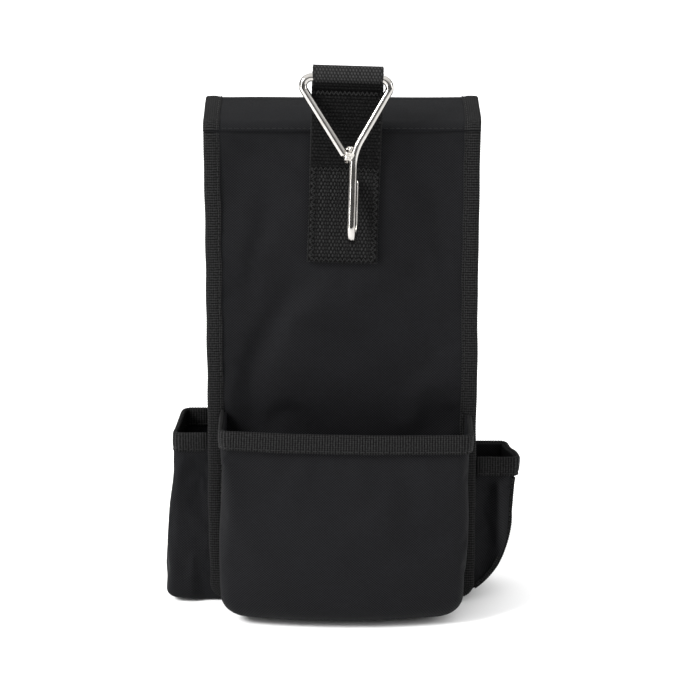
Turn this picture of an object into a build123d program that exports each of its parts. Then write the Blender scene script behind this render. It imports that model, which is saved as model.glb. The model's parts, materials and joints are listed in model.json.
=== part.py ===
from build123d import *

import os
from math import cos, radians, sin, tan

# Electrician's tool pouch, hung by a wire hook from a webbing loop.
#
# Frame: millimetres, +Z up, origin at the centre of the main compartment's base. -Y is the
# front, where the wide pocket and the hook are; +X is the pouch's left as it is worn.
#
# The body is a box of cloth: a front and a rear panel joined by one gusset strip that runs
# down a side, along the base and up the other side. Each panel is wider than the box, and its
# flanges are wrapped in folded tape. A flap is sewn across the front panel's top edge, covers
# the compartment and hangs down the rear, where touch tape holds it. A wide pocket stands on
# the front panel, and a narrow pocket on each side of the gusset.

# Driving dimensions
BODY_WIDTH = 152.0  # over the taped flanges
BODY_HEIGHT = 276.0  # top edge of the front and rear panels
BODY_DEPTH = 44.0  # front panel's face to rear panel's face
BOX_WIDTH = 134.0  # over the gusset's two sides
CLOTH = 1.6  # coated pack cloth with its lining
TAPE = 0.9  # thickness of the folded edge tape
TAPE_WIDTH = 9.0  # how far a seam tape reaches in from its edge
RIM_TAPE_WIDTH = 11.0  # the wider tape round the pockets' mouths
FLANGE_CORNER = 18.0
BOX_CORNER = 12.0
GAP = 0.1  # between pieces that are sewn face to face

FRONT_POCKET_WIDTH = 138.0
FRONT_POCKET_HEIGHT = 110.0
FRONT_POCKET_DEPTH = 38.0
FRONT_POCKET_CORNER = 14.0

SIDE_POCKET_DEPTH = 38.8
LEFT_POCKET_HEIGHT = 96.0
LEFT_MOUTH_X = -94.5
LEFT_FOOT_X = -101.0
LEFT_CORNER = 6.0
RIGHT_POCKET_HEIGHT = 82.0
RIGHT_MOUTH_X = 99.5
RIGHT_BEND_X = 96.6
RIGHT_BEND_Z = 48.0
RIGHT_FOOT_X = 69.0
RIGHT_CURVE_RADIUS = 50.0

STIFFENER = 1.5
LINING = 1.0

FLAP_HALF_WIDTH = 75.7
FLAP_SEAM_Z = 273.6
FLAP_NEAR_Z = 278.2  # underside of the flap's top where it leaves the front panel
FLAP_FAR_Z = 279.7  # and where it turns down the rear
FLAP_TAIL_END_Z = 205.0
FLAP_TAIL_Y = 25.0
FLAP_TAIL_CORNER = 16.0
TOUCH_TAPE_WIDTH = 100.0
TOUCH_TAPE_HEIGHT = 20.0
TOUCH_TAPE = 1.2
TOUCH_TAPE_Z = 214.0

STRAP_WIDTH = 38.0
WEBBING = 1.5
STRAP_FOOT_Z = 199.0
STRAP_SEWN_TOP_Z = 253.0
STRAP_STITCH_Z = 297.0
STRAP_TILT = 1.75  # degrees that the strap and the hook lean towards +X
STRAP_SLACK = 2.0  # how far the loop stands above the bar

WIRE_RADIUS = 2.25
BAR_Z = 304.7
BAR_Y = -32.2
BAR_CLEARANCE = 0.6
HOOK_TILT = 12.0  # degrees that the hanging hook stands out from plumb
HOOK_BEND = 4.6
HOOK_LEFT_X = -28.2
HOOK_RIGHT_X = 25.8
STEM_X = 4.2
NECK_DROP = 40.0  # from the bar down to where the right leg turns into the stem
NECK_BEND = 30.0
LEFT_LEG_END = (-0.7, 41.3)
HOOK_DROP = 88.3  # from the bar down to the lowest point of the hook's centreline
THROAT = 16.6  # stem to tip, centre to centre
THROAT_TWIST = 1.6
TIP_DROP = 57.0
WELD_RADIUS = 3.3
WELD_LENGTH = 6.4
WELD_CHAMFER = 0.8

FRONT_Y = -BODY_DEPTH / 2
REAR_Y = BODY_DEPTH / 2
BOX_HALF = BOX_WIDTH / 2
TAPE_LEG = CLOTH + TAPE
SEAM_INNER_Y = REAR_Y - TAPE_LEG


def between_y(face, y_low, y_high):
    """Extrudes a face drawn with X and Z from y_low to y_high."""
    plane = Plane(origin=(0, y_high, 0), x_dir=(1, 0, 0), z_dir=(0, -1, 0))
    return extrude(plane * face, amount=y_high - y_low)


def between_z(face, z_low, z_high):
    """Extrudes a face drawn with X and Y from z_low to z_high."""
    return extrude(Pos(0, 0, z_low) * face, amount=z_high - z_low)


def between_x(face, x_low, x_high):
    """Extrudes a face drawn with Y and Z from x_low to x_high."""
    plane = Plane(origin=(x_low, 0, 0), x_dir=(0, 1, 0), z_dir=(1, 0, 0))
    return extrude(plane * face, amount=x_high - x_low)


def block(x_low, x_high, y_low, y_high, z_low, z_high):
    """A box given by its lowest and highest corners."""
    size = (x_high - x_low, y_high - y_low, z_high - z_low)
    centre = ((x_low + x_high) / 2, (y_low + y_high) / 2, (z_low + z_high) / 2)
    return Pos(*centre) * Box(*size)


def arched(half_width, foot, top, corner):
    """A face in X and Z with square top corners and rounded bottom ones."""
    outline = FilletPolyline(
        (-half_width, top),
        (-half_width, foot),
        (half_width, foot),
        (half_width, top),
        radius=corner,
    )
    return make_face(outline + Line((half_width, top), (-half_width, top)))


def u_strip(half_width, foot, top, corner, thickness):
    """The U left between an arched outline and the same outline moved in by thickness."""
    inner = arched(half_width - thickness, foot + thickness, top + 1, corner - thickness)
    return arched(half_width, foot, top, corner) - inner


# The two panels and the tapes that wrap their flanges


def body_panel(y_low):
    """One tall panel, whose edges stop inside the fold of its tape."""
    face = arched(BODY_WIDTH / 2 - TAPE, TAPE, BODY_HEIGHT, FLANGE_CORNER - TAPE)
    return between_y(face, y_low, y_low + CLOTH)


def seam_tape(panel, y_low, top):
    """The folded tape round a panel's two sides and its base."""
    band = u_strip(BODY_WIDTH / 2, 0, top, FLANGE_CORNER, TAPE_WIDTH)
    return between_y(band, y_low - TAPE, y_low + CLOTH + TAPE) - panel


def body_gusset():
    """The strip between the panels: one side, the base and the other side."""
    strip = u_strip(BOX_HALF, 0, BODY_HEIGHT, BOX_CORNER, CLOTH)
    return between_y(strip, -SEAM_INNER_Y, SEAM_INNER_Y)


def rear_rim_tape(rear_panel, gusset):
    """The tape over the compartment's mouth, along the rear panel and both gusset sides."""
    low = BODY_HEIGHT + TAPE - RIM_TAPE_WIDTH
    high = BODY_HEIGHT + TAPE
    half = BODY_WIDTH / 2
    tape = block(-half, half, SEAM_INNER_Y, REAR_Y + TAPE, low, high)
    for side in (-1, 1):
        outer = side * (BOX_HALF + TAPE)
        inner = side * (BOX_HALF - TAPE_LEG)
        x_low, x_high = sorted((outer, inner))
        tape += block(x_low, x_high, -SEAM_INNER_Y, SEAM_INNER_Y, low, high)
    return tape - rear_panel - gusset


def rear_insert(y_high, thickness):
    """A flat sheet that lies against the rear panel inside the compartment."""
    half = BOX_HALF - TAPE_LEG - 1
    face = arched(half, 3, BODY_HEIGHT - RIM_TAPE_WIDTH - 1, BOX_CORNER - 2)
    return between_y(face, y_high - thickness, y_high)


# The wide pocket on the front panel

POCKET_HALF = FRONT_POCKET_WIDTH / 2
POCKET_BACK_Y = FRONT_Y - TAPE
POCKET_FRONT_Y = FRONT_Y - FRONT_POCKET_DEPTH


def front_pocket_face():
    face = arched(POCKET_HALF, 0, FRONT_POCKET_HEIGHT, FRONT_POCKET_CORNER)
    return between_y(face, POCKET_FRONT_Y, POCKET_FRONT_Y + CLOTH)


def front_pocket_gusset():
    strip = u_strip(POCKET_HALF, 0, FRONT_POCKET_HEIGHT, FRONT_POCKET_CORNER, CLOTH)
    return between_y(strip, POCKET_FRONT_Y + CLOTH, POCKET_BACK_Y)


def front_pocket_rim(face, gusset):
    """The tape round the pocket's mouth: one side, the front and the other side."""
    low = FRONT_POCKET_HEIGHT + TAPE - RIM_TAPE_WIDTH
    high = FRONT_POCKET_HEIGHT + TAPE
    outer = block(
        -POCKET_HALF - TAPE, POCKET_HALF + TAPE, POCKET_FRONT_Y - TAPE, POCKET_BACK_Y, low, high
    )
    inner_half = POCKET_HALF - TAPE_LEG
    inner = block(
        -inner_half, inner_half, POCKET_FRONT_Y + TAPE_LEG, POCKET_BACK_Y + 1, low - 1, high + 1
    )
    return outer - inner - face - gusset


# The side pockets

SIDE_HALF_DEPTH = SIDE_POCKET_DEPTH / 2
SIDE_ROOT_X = BOX_HALF + GAP


def left_outline(inset):
    """The left pocket seen from the front, with its outer wall and base moved in by inset."""
    top = LEFT_POCKET_HEIGHT + (1 if inset else 0)
    root = -SIDE_ROOT_X + (1 if inset else 0)
    edge = FilletPolyline(
        (LEFT_MOUTH_X + inset, top),
        (LEFT_FOOT_X + inset, inset),
        (root, inset),
        radius=LEFT_CORNER - inset,
    )
    return make_face(edge + Polyline((root, inset), (root, top), (LEFT_MOUTH_X + inset, top)))


def right_outline(inset, top=RIGHT_POCKET_HEIGHT, root=SIDE_ROOT_X):
    """The right pocket seen from the front: its outer wall runs down into one long curve."""
    mouth = (RIGHT_MOUTH_X - inset, top)
    bend = (RIGHT_BEND_X - inset, RIGHT_BEND_Z)
    foot = (RIGHT_FOOT_X, inset)
    edge = Line(mouth, bend) + RadiusArc(bend, foot, RIGHT_CURVE_RADIUS - inset)
    return make_face(edge + Polyline(foot, (root, inset), (root, top), mouth))


def side_pocket(outline, inner):
    """A side pocket's front sheet, rear sheet and the strip of outer wall and base."""
    front = between_y(outline, -SIDE_HALF_DEPTH, -SIDE_HALF_DEPTH + CLOTH)
    rear = between_y(outline, SIDE_HALF_DEPTH - CLOTH, SIDE_HALF_DEPTH)
    strip = between_y(outline - inner, -SIDE_HALF_DEPTH + CLOTH, SIDE_HALF_DEPTH - CLOTH)
    return front, rear, strip


def side_rim(sheets, height, wall_x, lean):
    """The tape round a side pocket's mouth, which leans with the outer wall.

    It stops short of the body's seam tapes, which the pocket's front and rear sheets pass.
    """
    side = 1 if wall_x > 0 else -1
    low = height + TAPE - RIM_TAPE_WIDTH
    high = height + TAPE
    reach = SIDE_HALF_DEPTH + TAPE
    root = BODY_WIDTH / 2 + GAP
    drop = RIM_TAPE_WIDTH * lean

    def quad(outer, back, z_low, z_high):
        top_x = wall_x + side * outer
        return make_face(
            Polyline(
                (side * back, z_low),
                (top_x + drop, z_low),
                (top_x, z_high),
                (side * back, z_high),
                close=True,
            )
        )

    tape = between_y(quad(TAPE, root, low, high), -reach, reach)
    hollow_y = SIDE_HALF_DEPTH - TAPE_LEG
    hollow = between_y(quad(-TAPE_LEG, root - 1, low - 1, high + 1), -hollow_y, hollow_y)
    tape -= hollow
    for sheet in sheets:
        tape -= sheet
    return tape


def right_seam_tape(front_sheet):
    """The tape along the right pocket's curved lower seam, on its front edge."""
    top = RIGHT_POCKET_HEIGHT - RIM_TAPE_WIDTH
    root = BODY_WIDTH / 2 + GAP
    band = right_outline(-TAPE) - right_outline(TAPE_WIDTH - TAPE - 2)
    window = Pos((root + RIGHT_MOUTH_X + 5) / 2, top / 2) * Rectangle(
        RIGHT_MOUTH_X + 5 - root, top - 2
    )
    low = -SIDE_HALF_DEPTH - TAPE
    tape = between_y(band & window, low, -SIDE_HALF_DEPTH + CLOTH)
    return tape - front_sheet - between_y(right_outline(0), low + TAPE, 0)


# The flap: a root sewn to the front panel, a top over the compartment and a tail down the rear


def flap_root():
    low = FRONT_Y - TAPE - GAP - CLOTH
    return block(-FLAP_HALF_WIDTH, FLAP_HALF_WIDTH, low, low + CLOTH, FLAP_SEAM_Z, BODY_HEIGHT + 1)


def flap_top(half_width, thickness, sink=0.0):
    """The sloping top, or with sink the same sheet thickened by that much on both sides."""
    near_y = FRONT_Y - 1.0
    far_y = REAR_Y + 2.0
    face = make_face(
        Polyline(
            (near_y, FLAP_NEAR_Z - sink),
            (far_y, FLAP_FAR_Z - sink),
            (far_y, FLAP_FAR_Z + thickness + sink),
            (near_y, FLAP_NEAR_Z + thickness + sink),
            close=True,
        )
    )
    return between_x(face, -half_width, half_width)


def flap_top_tapes(top):
    """The two tapes along the sides of the flap's top."""
    thick = flap_top(FLAP_HALF_WIDTH + TAPE, CLOTH, sink=TAPE)
    core = block(
        -FLAP_HALF_WIDTH - TAPE + TAPE_WIDTH,
        FLAP_HALF_WIDTH + TAPE - TAPE_WIDTH,
        -BODY_DEPTH,
        BODY_DEPTH,
        FLAP_SEAM_Z,
        FLAP_FAR_Z + 10,
    )
    return thick - core - top


def flap_tail():
    face = arched(FLAP_HALF_WIDTH, FLAP_TAIL_END_Z, FLAP_FAR_Z - 0.6, FLAP_TAIL_CORNER)
    return between_y(face, FLAP_TAIL_Y, FLAP_TAIL_Y + CLOTH)


def flap_tail_tape(tail):
    """The tape round the tail's two sides and its free end."""
    band = u_strip(
        FLAP_HALF_WIDTH + TAPE,
        FLAP_TAIL_END_Z - TAPE,
        FLAP_FAR_Z - 0.6,
        FLAP_TAIL_CORNER + TAPE,
        TAPE_WIDTH,
    )
    return between_y(band, FLAP_TAIL_Y - TAPE, FLAP_TAIL_Y + CLOTH + TAPE) - tail


def touch_tape(y_low):
    half = TOUCH_TAPE_WIDTH / 2
    top = TOUCH_TAPE_Z + TOUCH_TAPE_HEIGHT
    return block(-half, half, y_low, y_low + TOUCH_TAPE, TOUCH_TAPE_Z, top)


# The webbing strap that carries the hook

STRAP_BACK_Y = FRONT_Y - GAP
STRAP_MID_Y = STRAP_BACK_Y - WEBBING
LOOP_INNER = WIRE_RADIUS + BAR_CLEARANCE
LOOP_OUTER = LOOP_INNER + WEBBING


def leaning(shape):
    """Tips a shape towards +X about the strap's foot, as the strap and the hook hang."""
    foot = Pos(0, 0, STRAP_FOOT_Z)
    return foot * Rot(0, STRAP_TILT, 0) * foot.inverse() * shape


def loop_face(radius, stitch_half):
    """The loop in Y and Z: a round top over the bar, narrowing to the stitching below it."""
    lean = (STRAP_MID_Y - BAR_Y) / (BAR_Z - STRAP_SEWN_TOP_Z)
    stitch_y = BAR_Y + (BAR_Z - STRAP_STITCH_Z) * lean
    crown = Pos(BAR_Y, BAR_Z + STRAP_SLACK) * Circle(radius)
    throat = make_face(
        Polyline(
            (BAR_Y - radius, BAR_Z + STRAP_SLACK),
            (BAR_Y - radius, BAR_Z - 1),
            (stitch_y - stitch_half, STRAP_STITCH_Z),
            (stitch_y + stitch_half, STRAP_STITCH_Z),
            (BAR_Y + radius, BAR_Z - 1),
            (BAR_Y + radius, BAR_Z + STRAP_SLACK),
            close=True,
        )
    )
    return crown + throat, stitch_y


def hook_strap():
    """Webbing folded in half over the bar: both layers sewn flat, then leaning out to the loop."""
    outer, stitch_y = loop_face(LOOP_OUTER, WEBBING)
    inner, _ = loop_face(LOOP_INNER, 0.2)
    layers = make_face(
        Polyline(
            (STRAP_BACK_Y, STRAP_FOOT_Z),
            (STRAP_BACK_Y, STRAP_SEWN_TOP_Z),
            (stitch_y + WEBBING, STRAP_STITCH_Z + 1),
            (stitch_y - WEBBING, STRAP_STITCH_Z + 1),
            (STRAP_BACK_Y - 2 * WEBBING, STRAP_SEWN_TOP_Z),
            (STRAP_BACK_Y - 2 * WEBBING, STRAP_FOOT_Z),
            close=True,
        )
    )
    strap = between_x(outer + layers - inner, -STRAP_WIDTH / 2, STRAP_WIDTH / 2)
    return leaning(strap)


# The hook: one bent wire whose free end is welded to its own stem


def on_hook(x, drop, back=0.0):
    """A point of the hanging hook: x along the bar, drop down its plane, back behind it."""
    tilt = radians(HOOK_TILT)
    y = BAR_Y - drop * sin(tilt) + back * cos(tilt)
    z = BAR_Z - drop * cos(tilt) - back * sin(tilt)
    return Vector(x, y, z)


def hook_wire():
    tip_x = STEM_X + THROAT_TWIST
    path = FilletPolyline(
        on_hook(*LEFT_LEG_END),
        on_hook(HOOK_LEFT_X, 0),
        on_hook(HOOK_RIGHT_X, 0),
        on_hook(STEM_X, NECK_DROP),
        on_hook(STEM_X, HOOK_DROP),
        on_hook(tip_x, HOOK_DROP, THROAT),
        on_hook(tip_x, TIP_DROP, THROAT),
        radius=[HOOK_BEND, HOOK_BEND, NECK_BEND, THROAT / 2 - 0.1, THROAT / 2 - 0.1],
    )
    start = Plane(origin=path @ 0, z_dir=path % 0)
    wire = sweep(start * Circle(WIRE_RADIUS), path=path)
    return leaning(wire + Pos(*(path @ 1)) * Sphere(WIRE_RADIUS))


def hook_weld(wire):
    """The bead that closes the triangle: a collar round the end of the left leg."""
    centre = on_hook((LEFT_LEG_END[0] + STEM_X) / 2, LEFT_LEG_END[1])
    bead = Cylinder(WELD_RADIUS, WELD_LENGTH)
    bead = chamfer(bead.edges().filter_by(GeomType.CIRCLE), WELD_CHAMFER)
    return leaning(Pos(*centre) * Rot(-HOOK_TILT, 0, 0) * bead) - wire


def main():
    front_panel = body_panel(FRONT_Y)
    rear_panel = body_panel(REAR_Y - CLOTH)
    gusset = body_gusset()
    pocket_face = front_pocket_face()
    pocket_gusset = front_pocket_gusset()
    left = side_pocket(left_outline(0), left_outline(CLOTH))
    right = side_pocket(
        right_outline(0), right_outline(CLOTH, RIGHT_POCKET_HEIGHT + 1, SIDE_ROOT_X - 1)
    )
    left_lean = (LEFT_FOOT_X - LEFT_MOUTH_X) / LEFT_POCKET_HEIGHT
    right_lean = (RIGHT_BEND_X - RIGHT_MOUTH_X) / (RIGHT_POCKET_HEIGHT - RIGHT_BEND_Z)
    top = flap_top(FLAP_HALF_WIDTH, CLOTH)
    tail = flap_tail()
    wire = hook_wire()
    insert_y = SEAM_INNER_Y - GAP

    nodes = {
        "front_panel": front_panel,
        "rear_panel": rear_panel,
        "body_gusset": gusset,
        "front_seam_tape": seam_tape(front_panel, FRONT_Y, BODY_HEIGHT),
        "rear_seam_tape": seam_tape(
            rear_panel, REAR_Y - CLOTH, BODY_HEIGHT + TAPE - RIM_TAPE_WIDTH
        ),
        "compartment_rim_tape": rear_rim_tape(rear_panel, gusset),
        "rear_stiffener": rear_insert(insert_y, STIFFENER),
        "rear_lining": rear_insert(insert_y - STIFFENER, LINING),
        "front_pocket_face": pocket_face,
        "front_pocket_gusset": pocket_gusset,
        "front_pocket_rim_tape": front_pocket_rim(pocket_face, pocket_gusset),
        "left_pocket_front": left[0],
        "left_pocket_rear": left[1],
        "left_pocket_wall": left[2],
        "left_pocket_rim_tape": side_rim(left, LEFT_POCKET_HEIGHT, LEFT_MOUTH_X, left_lean),
        "right_pocket_front": right[0],
        "right_pocket_rear": right[1],
        "right_pocket_wall": right[2],
        "right_pocket_rim_tape": side_rim(right, RIGHT_POCKET_HEIGHT, RIGHT_MOUTH_X, right_lean),
        "right_pocket_seam_tape": right_seam_tape(right[0]),
        "closure_loop_tape": touch_tape(REAR_Y),
        "hook_strap": hook_strap(),
        "flap_root": flap_root(),
        "flap_top": top,
        "flap_top_side_tapes": flap_top_tapes(top),
        "flap_tail": tail,
        "flap_tail_edge_tape": flap_tail_tape(tail),
        "closure_hook_tape": touch_tape(FLAP_TAIL_Y - TOUCH_TAPE - GAP),
        "hook_wire": wire,
        "hook_weld_bead": hook_weld(wire),
    }
    os.makedirs("parts", exist_ok=True)
    for name, shape in nodes.items():
        export_step(shape, f"parts/{name}.step")


main()
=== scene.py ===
import json
import math

import bpy
import numpy as np
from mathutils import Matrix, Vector


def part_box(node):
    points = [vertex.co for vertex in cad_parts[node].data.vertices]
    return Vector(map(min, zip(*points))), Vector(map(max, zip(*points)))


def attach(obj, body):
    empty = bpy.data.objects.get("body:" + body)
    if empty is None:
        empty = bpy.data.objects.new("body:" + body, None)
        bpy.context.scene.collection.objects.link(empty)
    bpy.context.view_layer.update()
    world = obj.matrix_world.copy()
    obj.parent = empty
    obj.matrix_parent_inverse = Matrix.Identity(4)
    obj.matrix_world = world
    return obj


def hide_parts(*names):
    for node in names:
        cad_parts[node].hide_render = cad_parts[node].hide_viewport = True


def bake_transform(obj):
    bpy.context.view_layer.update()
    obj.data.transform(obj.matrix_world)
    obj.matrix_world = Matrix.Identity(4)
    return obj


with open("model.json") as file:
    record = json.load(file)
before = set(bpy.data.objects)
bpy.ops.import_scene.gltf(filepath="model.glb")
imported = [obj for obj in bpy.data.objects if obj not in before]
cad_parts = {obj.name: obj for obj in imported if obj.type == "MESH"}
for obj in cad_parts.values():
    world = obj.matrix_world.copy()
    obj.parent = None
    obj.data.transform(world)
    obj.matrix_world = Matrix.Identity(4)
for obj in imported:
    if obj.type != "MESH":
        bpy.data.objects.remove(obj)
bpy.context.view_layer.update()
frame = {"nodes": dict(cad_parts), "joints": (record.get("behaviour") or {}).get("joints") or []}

# The pouch's cloth, tapes, webbing, thread and metal, built round the imported model.
#
# Lengths in this script are millimetres, in the row's own axes, and become metres only when a
# mesh is made. A piece of cloth is a grid of points over its outer face, which shell() closes
# into a thin solid. Its "weave" attribute holds the place on the cloth, in millimetres, so that
# a weave follows the cloth and needs no UV map. The attribute's third value is the webbing's
# tone: its knots, with painted light on its knots, sewn part and loop; elsewhere it is 0.

MM = 0.001


def node_box(node):
    """A CAD node's lowest and highest corner, in millimetres."""
    low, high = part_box(node)
    return np.array(low) / MM, np.array(high) / MM


PANEL_LOW, PANEL_HIGH = node_box("front_panel")
REAR_LOW, REAR_HIGH = node_box("rear_panel")
GUSSET_LOW, GUSSET_HIGH = node_box("body_gusset")
SEAM_LOW, SEAM_HIGH = node_box("front_seam_tape")
REAR_SEAM_HIGH = node_box("rear_seam_tape")[1]
RIM_HIGH = node_box("compartment_rim_tape")[1]
POCKET_LOW, POCKET_HIGH = node_box("front_pocket_face")
LEFT_LOW, LEFT_HIGH = node_box("left_pocket_wall")
LEFT_RIM_LOW, LEFT_RIM_HIGH = node_box("left_pocket_rim_tape")
RIGHT_LOW, RIGHT_HIGH = node_box("right_pocket_wall")
RIGHT_RIM_LOW, RIGHT_RIM_HIGH = node_box("right_pocket_rim_tape")
ROOT_LOW = node_box("flap_root")[0]
TOP_LOW, TOP_HIGH = node_box("flap_top")
TAIL_LOW, TAIL_HIGH = node_box("flap_tail")
TAIL_TAPE_LOW, TAIL_TAPE_HIGH = node_box("flap_tail_edge_tape")
STRAP_LOW = node_box("hook_strap")[0]
LINING_LOW, LINING_HIGH = node_box("rear_lining")
BEAD_LOW, BEAD_HIGH = node_box("hook_weld_bead")

CLOTH = PANEL_HIGH[1] - PANEL_LOW[1]
SEAM_WIDTH = 9.0
RIM_WIDTH = 11.0
TAPE_HALF = (SEAM_HIGH[1] - SEAM_LOW[1]) / 2  # half the thickness of a folded tape
TAPE_SHELL = 0.9  # how far a folded tape reaches past its cloth
RIM_HALF = 1.5  # half the thickness of the tape round a mouth or the flap
TAPE_SHEET = 0.6
SEWN_IN = 1.3  # how far in from its edge a tape is sewn
TAPE_RIB = 0.20
TAPE_RIB_PITCH = 1.48
FLANGE_CORNER = 14.0
BOX_CORNER = 12.0
CLOTH_STEP = 2.4
FINE_STEP = 0.4

THREAD = 0.30  # radius of the sewing thread
FINE_THREAD = 0.22  # its radius in tape and webbing
THREAD_APART = 7.3  # how far apart on the weave each thread lies, so that no two look alike
STITCH = 2.5
STITCH_GAP = 0.8

STRAP_WIDTH = 38.0
STRAP_CLEAR = 0.15  # between the strap and the panel
SEWN_HEIGHT = 54.0  # of the strap's lower part, which is sewn flat
BAR_STITCH = 7.7  # how far under the bar the strap's free part is stitched together
WEBBING = 1.5
WEBBING_STEP = 0.48
WEBBING_ROW = 2.05
WEBBING_COLUMN = 1.8
WEBBING_RELIEF = 0.42


# Numbers on lines and grids


def smoothstep(t):
    t = np.clip(t, 0, 1)
    return t * t * (3 - 2 * t)


def bump(t, width):
    """1 at t = 0, falling smoothly to nothing about twice width away."""
    return np.exp(-((t / width) ** 2))


def distances(points):
    """Distance along a line of points, from its first."""
    steps = np.linalg.norm(np.diff(points, axis=0), axis=1)
    return np.concatenate([[0.0], np.cumsum(steps)])


def read_along(line, values, lengths):
    """Values given at a line's points, read at distances along that line."""
    run = distances(line)
    return np.stack([np.interp(lengths, run, column) for column in values.T], axis=1)


def resampled(points, step):
    """The same line, with its points an even distance apart."""
    total = distances(points)[-1]
    return read_along(points, points, np.linspace(0, total, max(2, round(total / step) + 1)))


def rounded(points, reach, step):
    """The same line, evenly spaced, with its corners rounded over about reach."""
    line = resampled(points, step)
    half = max(1, round(reach / step / 2))
    kernel = np.hanning(2 * half + 3)[1:-1]
    kernel /= kernel.sum()
    before = 2 * line[0] - line[half:0:-1]
    after = 2 * line[-1] - line[-2 : -half - 2 : -1]
    padded = np.concatenate([before, line, after])
    return np.stack([np.convolve(c, kernel, "valid") for c in padded.T], axis=1)


def tangents(points):
    along = np.gradient(points, axis=0)
    return along / np.linalg.norm(along, axis=1, keepdims=True)


def left_of(line):
    """Directions to the left of a flat line's travel, at each of its points."""
    flow = tangents(line)
    return np.stack([-flow[:, 1], flow[:, 0]], axis=1)


def inside_ends(run, reach):
    """0 at both ends of a line, and 1 from reach inside them."""
    return smoothstep(run / reach) * smoothstep((run[-1] - run) / reach)


def raised(x, line, out, rise):
    """A grid over a line in Y and Z, from its X and how far it stands out from the line."""
    return np.stack([x, line[:, :1] + out[:, :1] * rise, line[:, 1:] + out[:, 1:] * rise], axis=-1)


def quarter_turn(count):
    """Angles from nothing to a quarter turn."""
    return np.linspace(0, math.pi / 2, count)


def grid_normals(grid):
    cross = np.cross(np.gradient(grid, axis=0), np.gradient(grid, axis=1))
    return cross / np.maximum(np.linalg.norm(cross, axis=2, keepdims=True), 1e-9)


def ripples(a, b, wavelength, seed):
    """A smooth random height, mostly between -1 and 1, over two coordinates."""
    random = np.random.default_rng(seed)
    total = np.zeros(np.broadcast(a, b).shape)
    waves = 8
    for _ in range(waves):
        angle, phase = random.uniform(0, 2 * math.pi, 2)
        across = a * math.cos(angle) + b * math.sin(angle)
        total += np.sin(2 * math.pi * across / (wavelength * random.uniform(0.7, 1.6)) + phase)
    return total / math.sqrt(waves)


def ripples_along(run, wavelength, seed):
    """A smooth random height along a line."""
    return ripples(run, run * 0, wavelength, seed)


def valley(x, z, start, end, depth, width):
    """A soft trough along the line from start to end, which fades out at both."""
    start, end = np.array(start), np.array(end)
    run = end - start
    length = np.linalg.norm(run)
    run = run / length
    along = ((x - start[0]) * run[0] + (z - start[1]) * run[1]) / length
    across = (x - start[0]) * -run[1] + (z - start[1]) * run[0]
    fade = smoothstep(along / 0.3) * smoothstep((1 - along) / 0.3)
    return -depth * fade * bump(across, width)


def valleys(x, z, *troughs):
    """Several troughs together, each as (start, end, depth, width)."""
    return sum(valley(x, z, *trough) for trough in troughs)


def inset_at(height, radius):
    """How far a side with a rounded foot stands in at a height above that foot."""
    below = np.clip(radius - height, 0, radius)
    return radius - np.sqrt(radius**2 - below**2)


def u_line(half, foot, top, corner, step):
    """Points (x, z) down the left side, round the two lower corners and up the right side."""
    turn = quarter_turn(16)
    left_arc = np.stack([-np.cos(turn), -np.sin(turn)], axis=1) * corner
    right_arc = np.stack([np.sin(turn), -np.cos(turn)], axis=1) * corner
    left_arc += (-half + corner, foot + corner)
    right_arc += (half - corner, foot + corner)
    return resampled(np.concatenate([[(-half, top)], left_arc, right_arc, [(half, top)]]), step)


# Meshes


def grid_faces(index):
    """The faces of a grid of vertex numbers."""
    corners = [index[:-1, :-1], index[1:, :-1], index[1:, 1:], index[:-1, 1:]]
    return np.stack(corners, axis=-1).reshape(-1, 4)


def tube_faces(rings, sides):
    """The faces between a tube's rings of vertices."""
    index = np.arange(rings * sides).reshape(rings, sides)
    turned = np.roll(index, -1, axis=1)
    return np.stack([index[:-1], index[1:], turned[1:], turned[:-1]], axis=-1).reshape(-1, 4)


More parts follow.
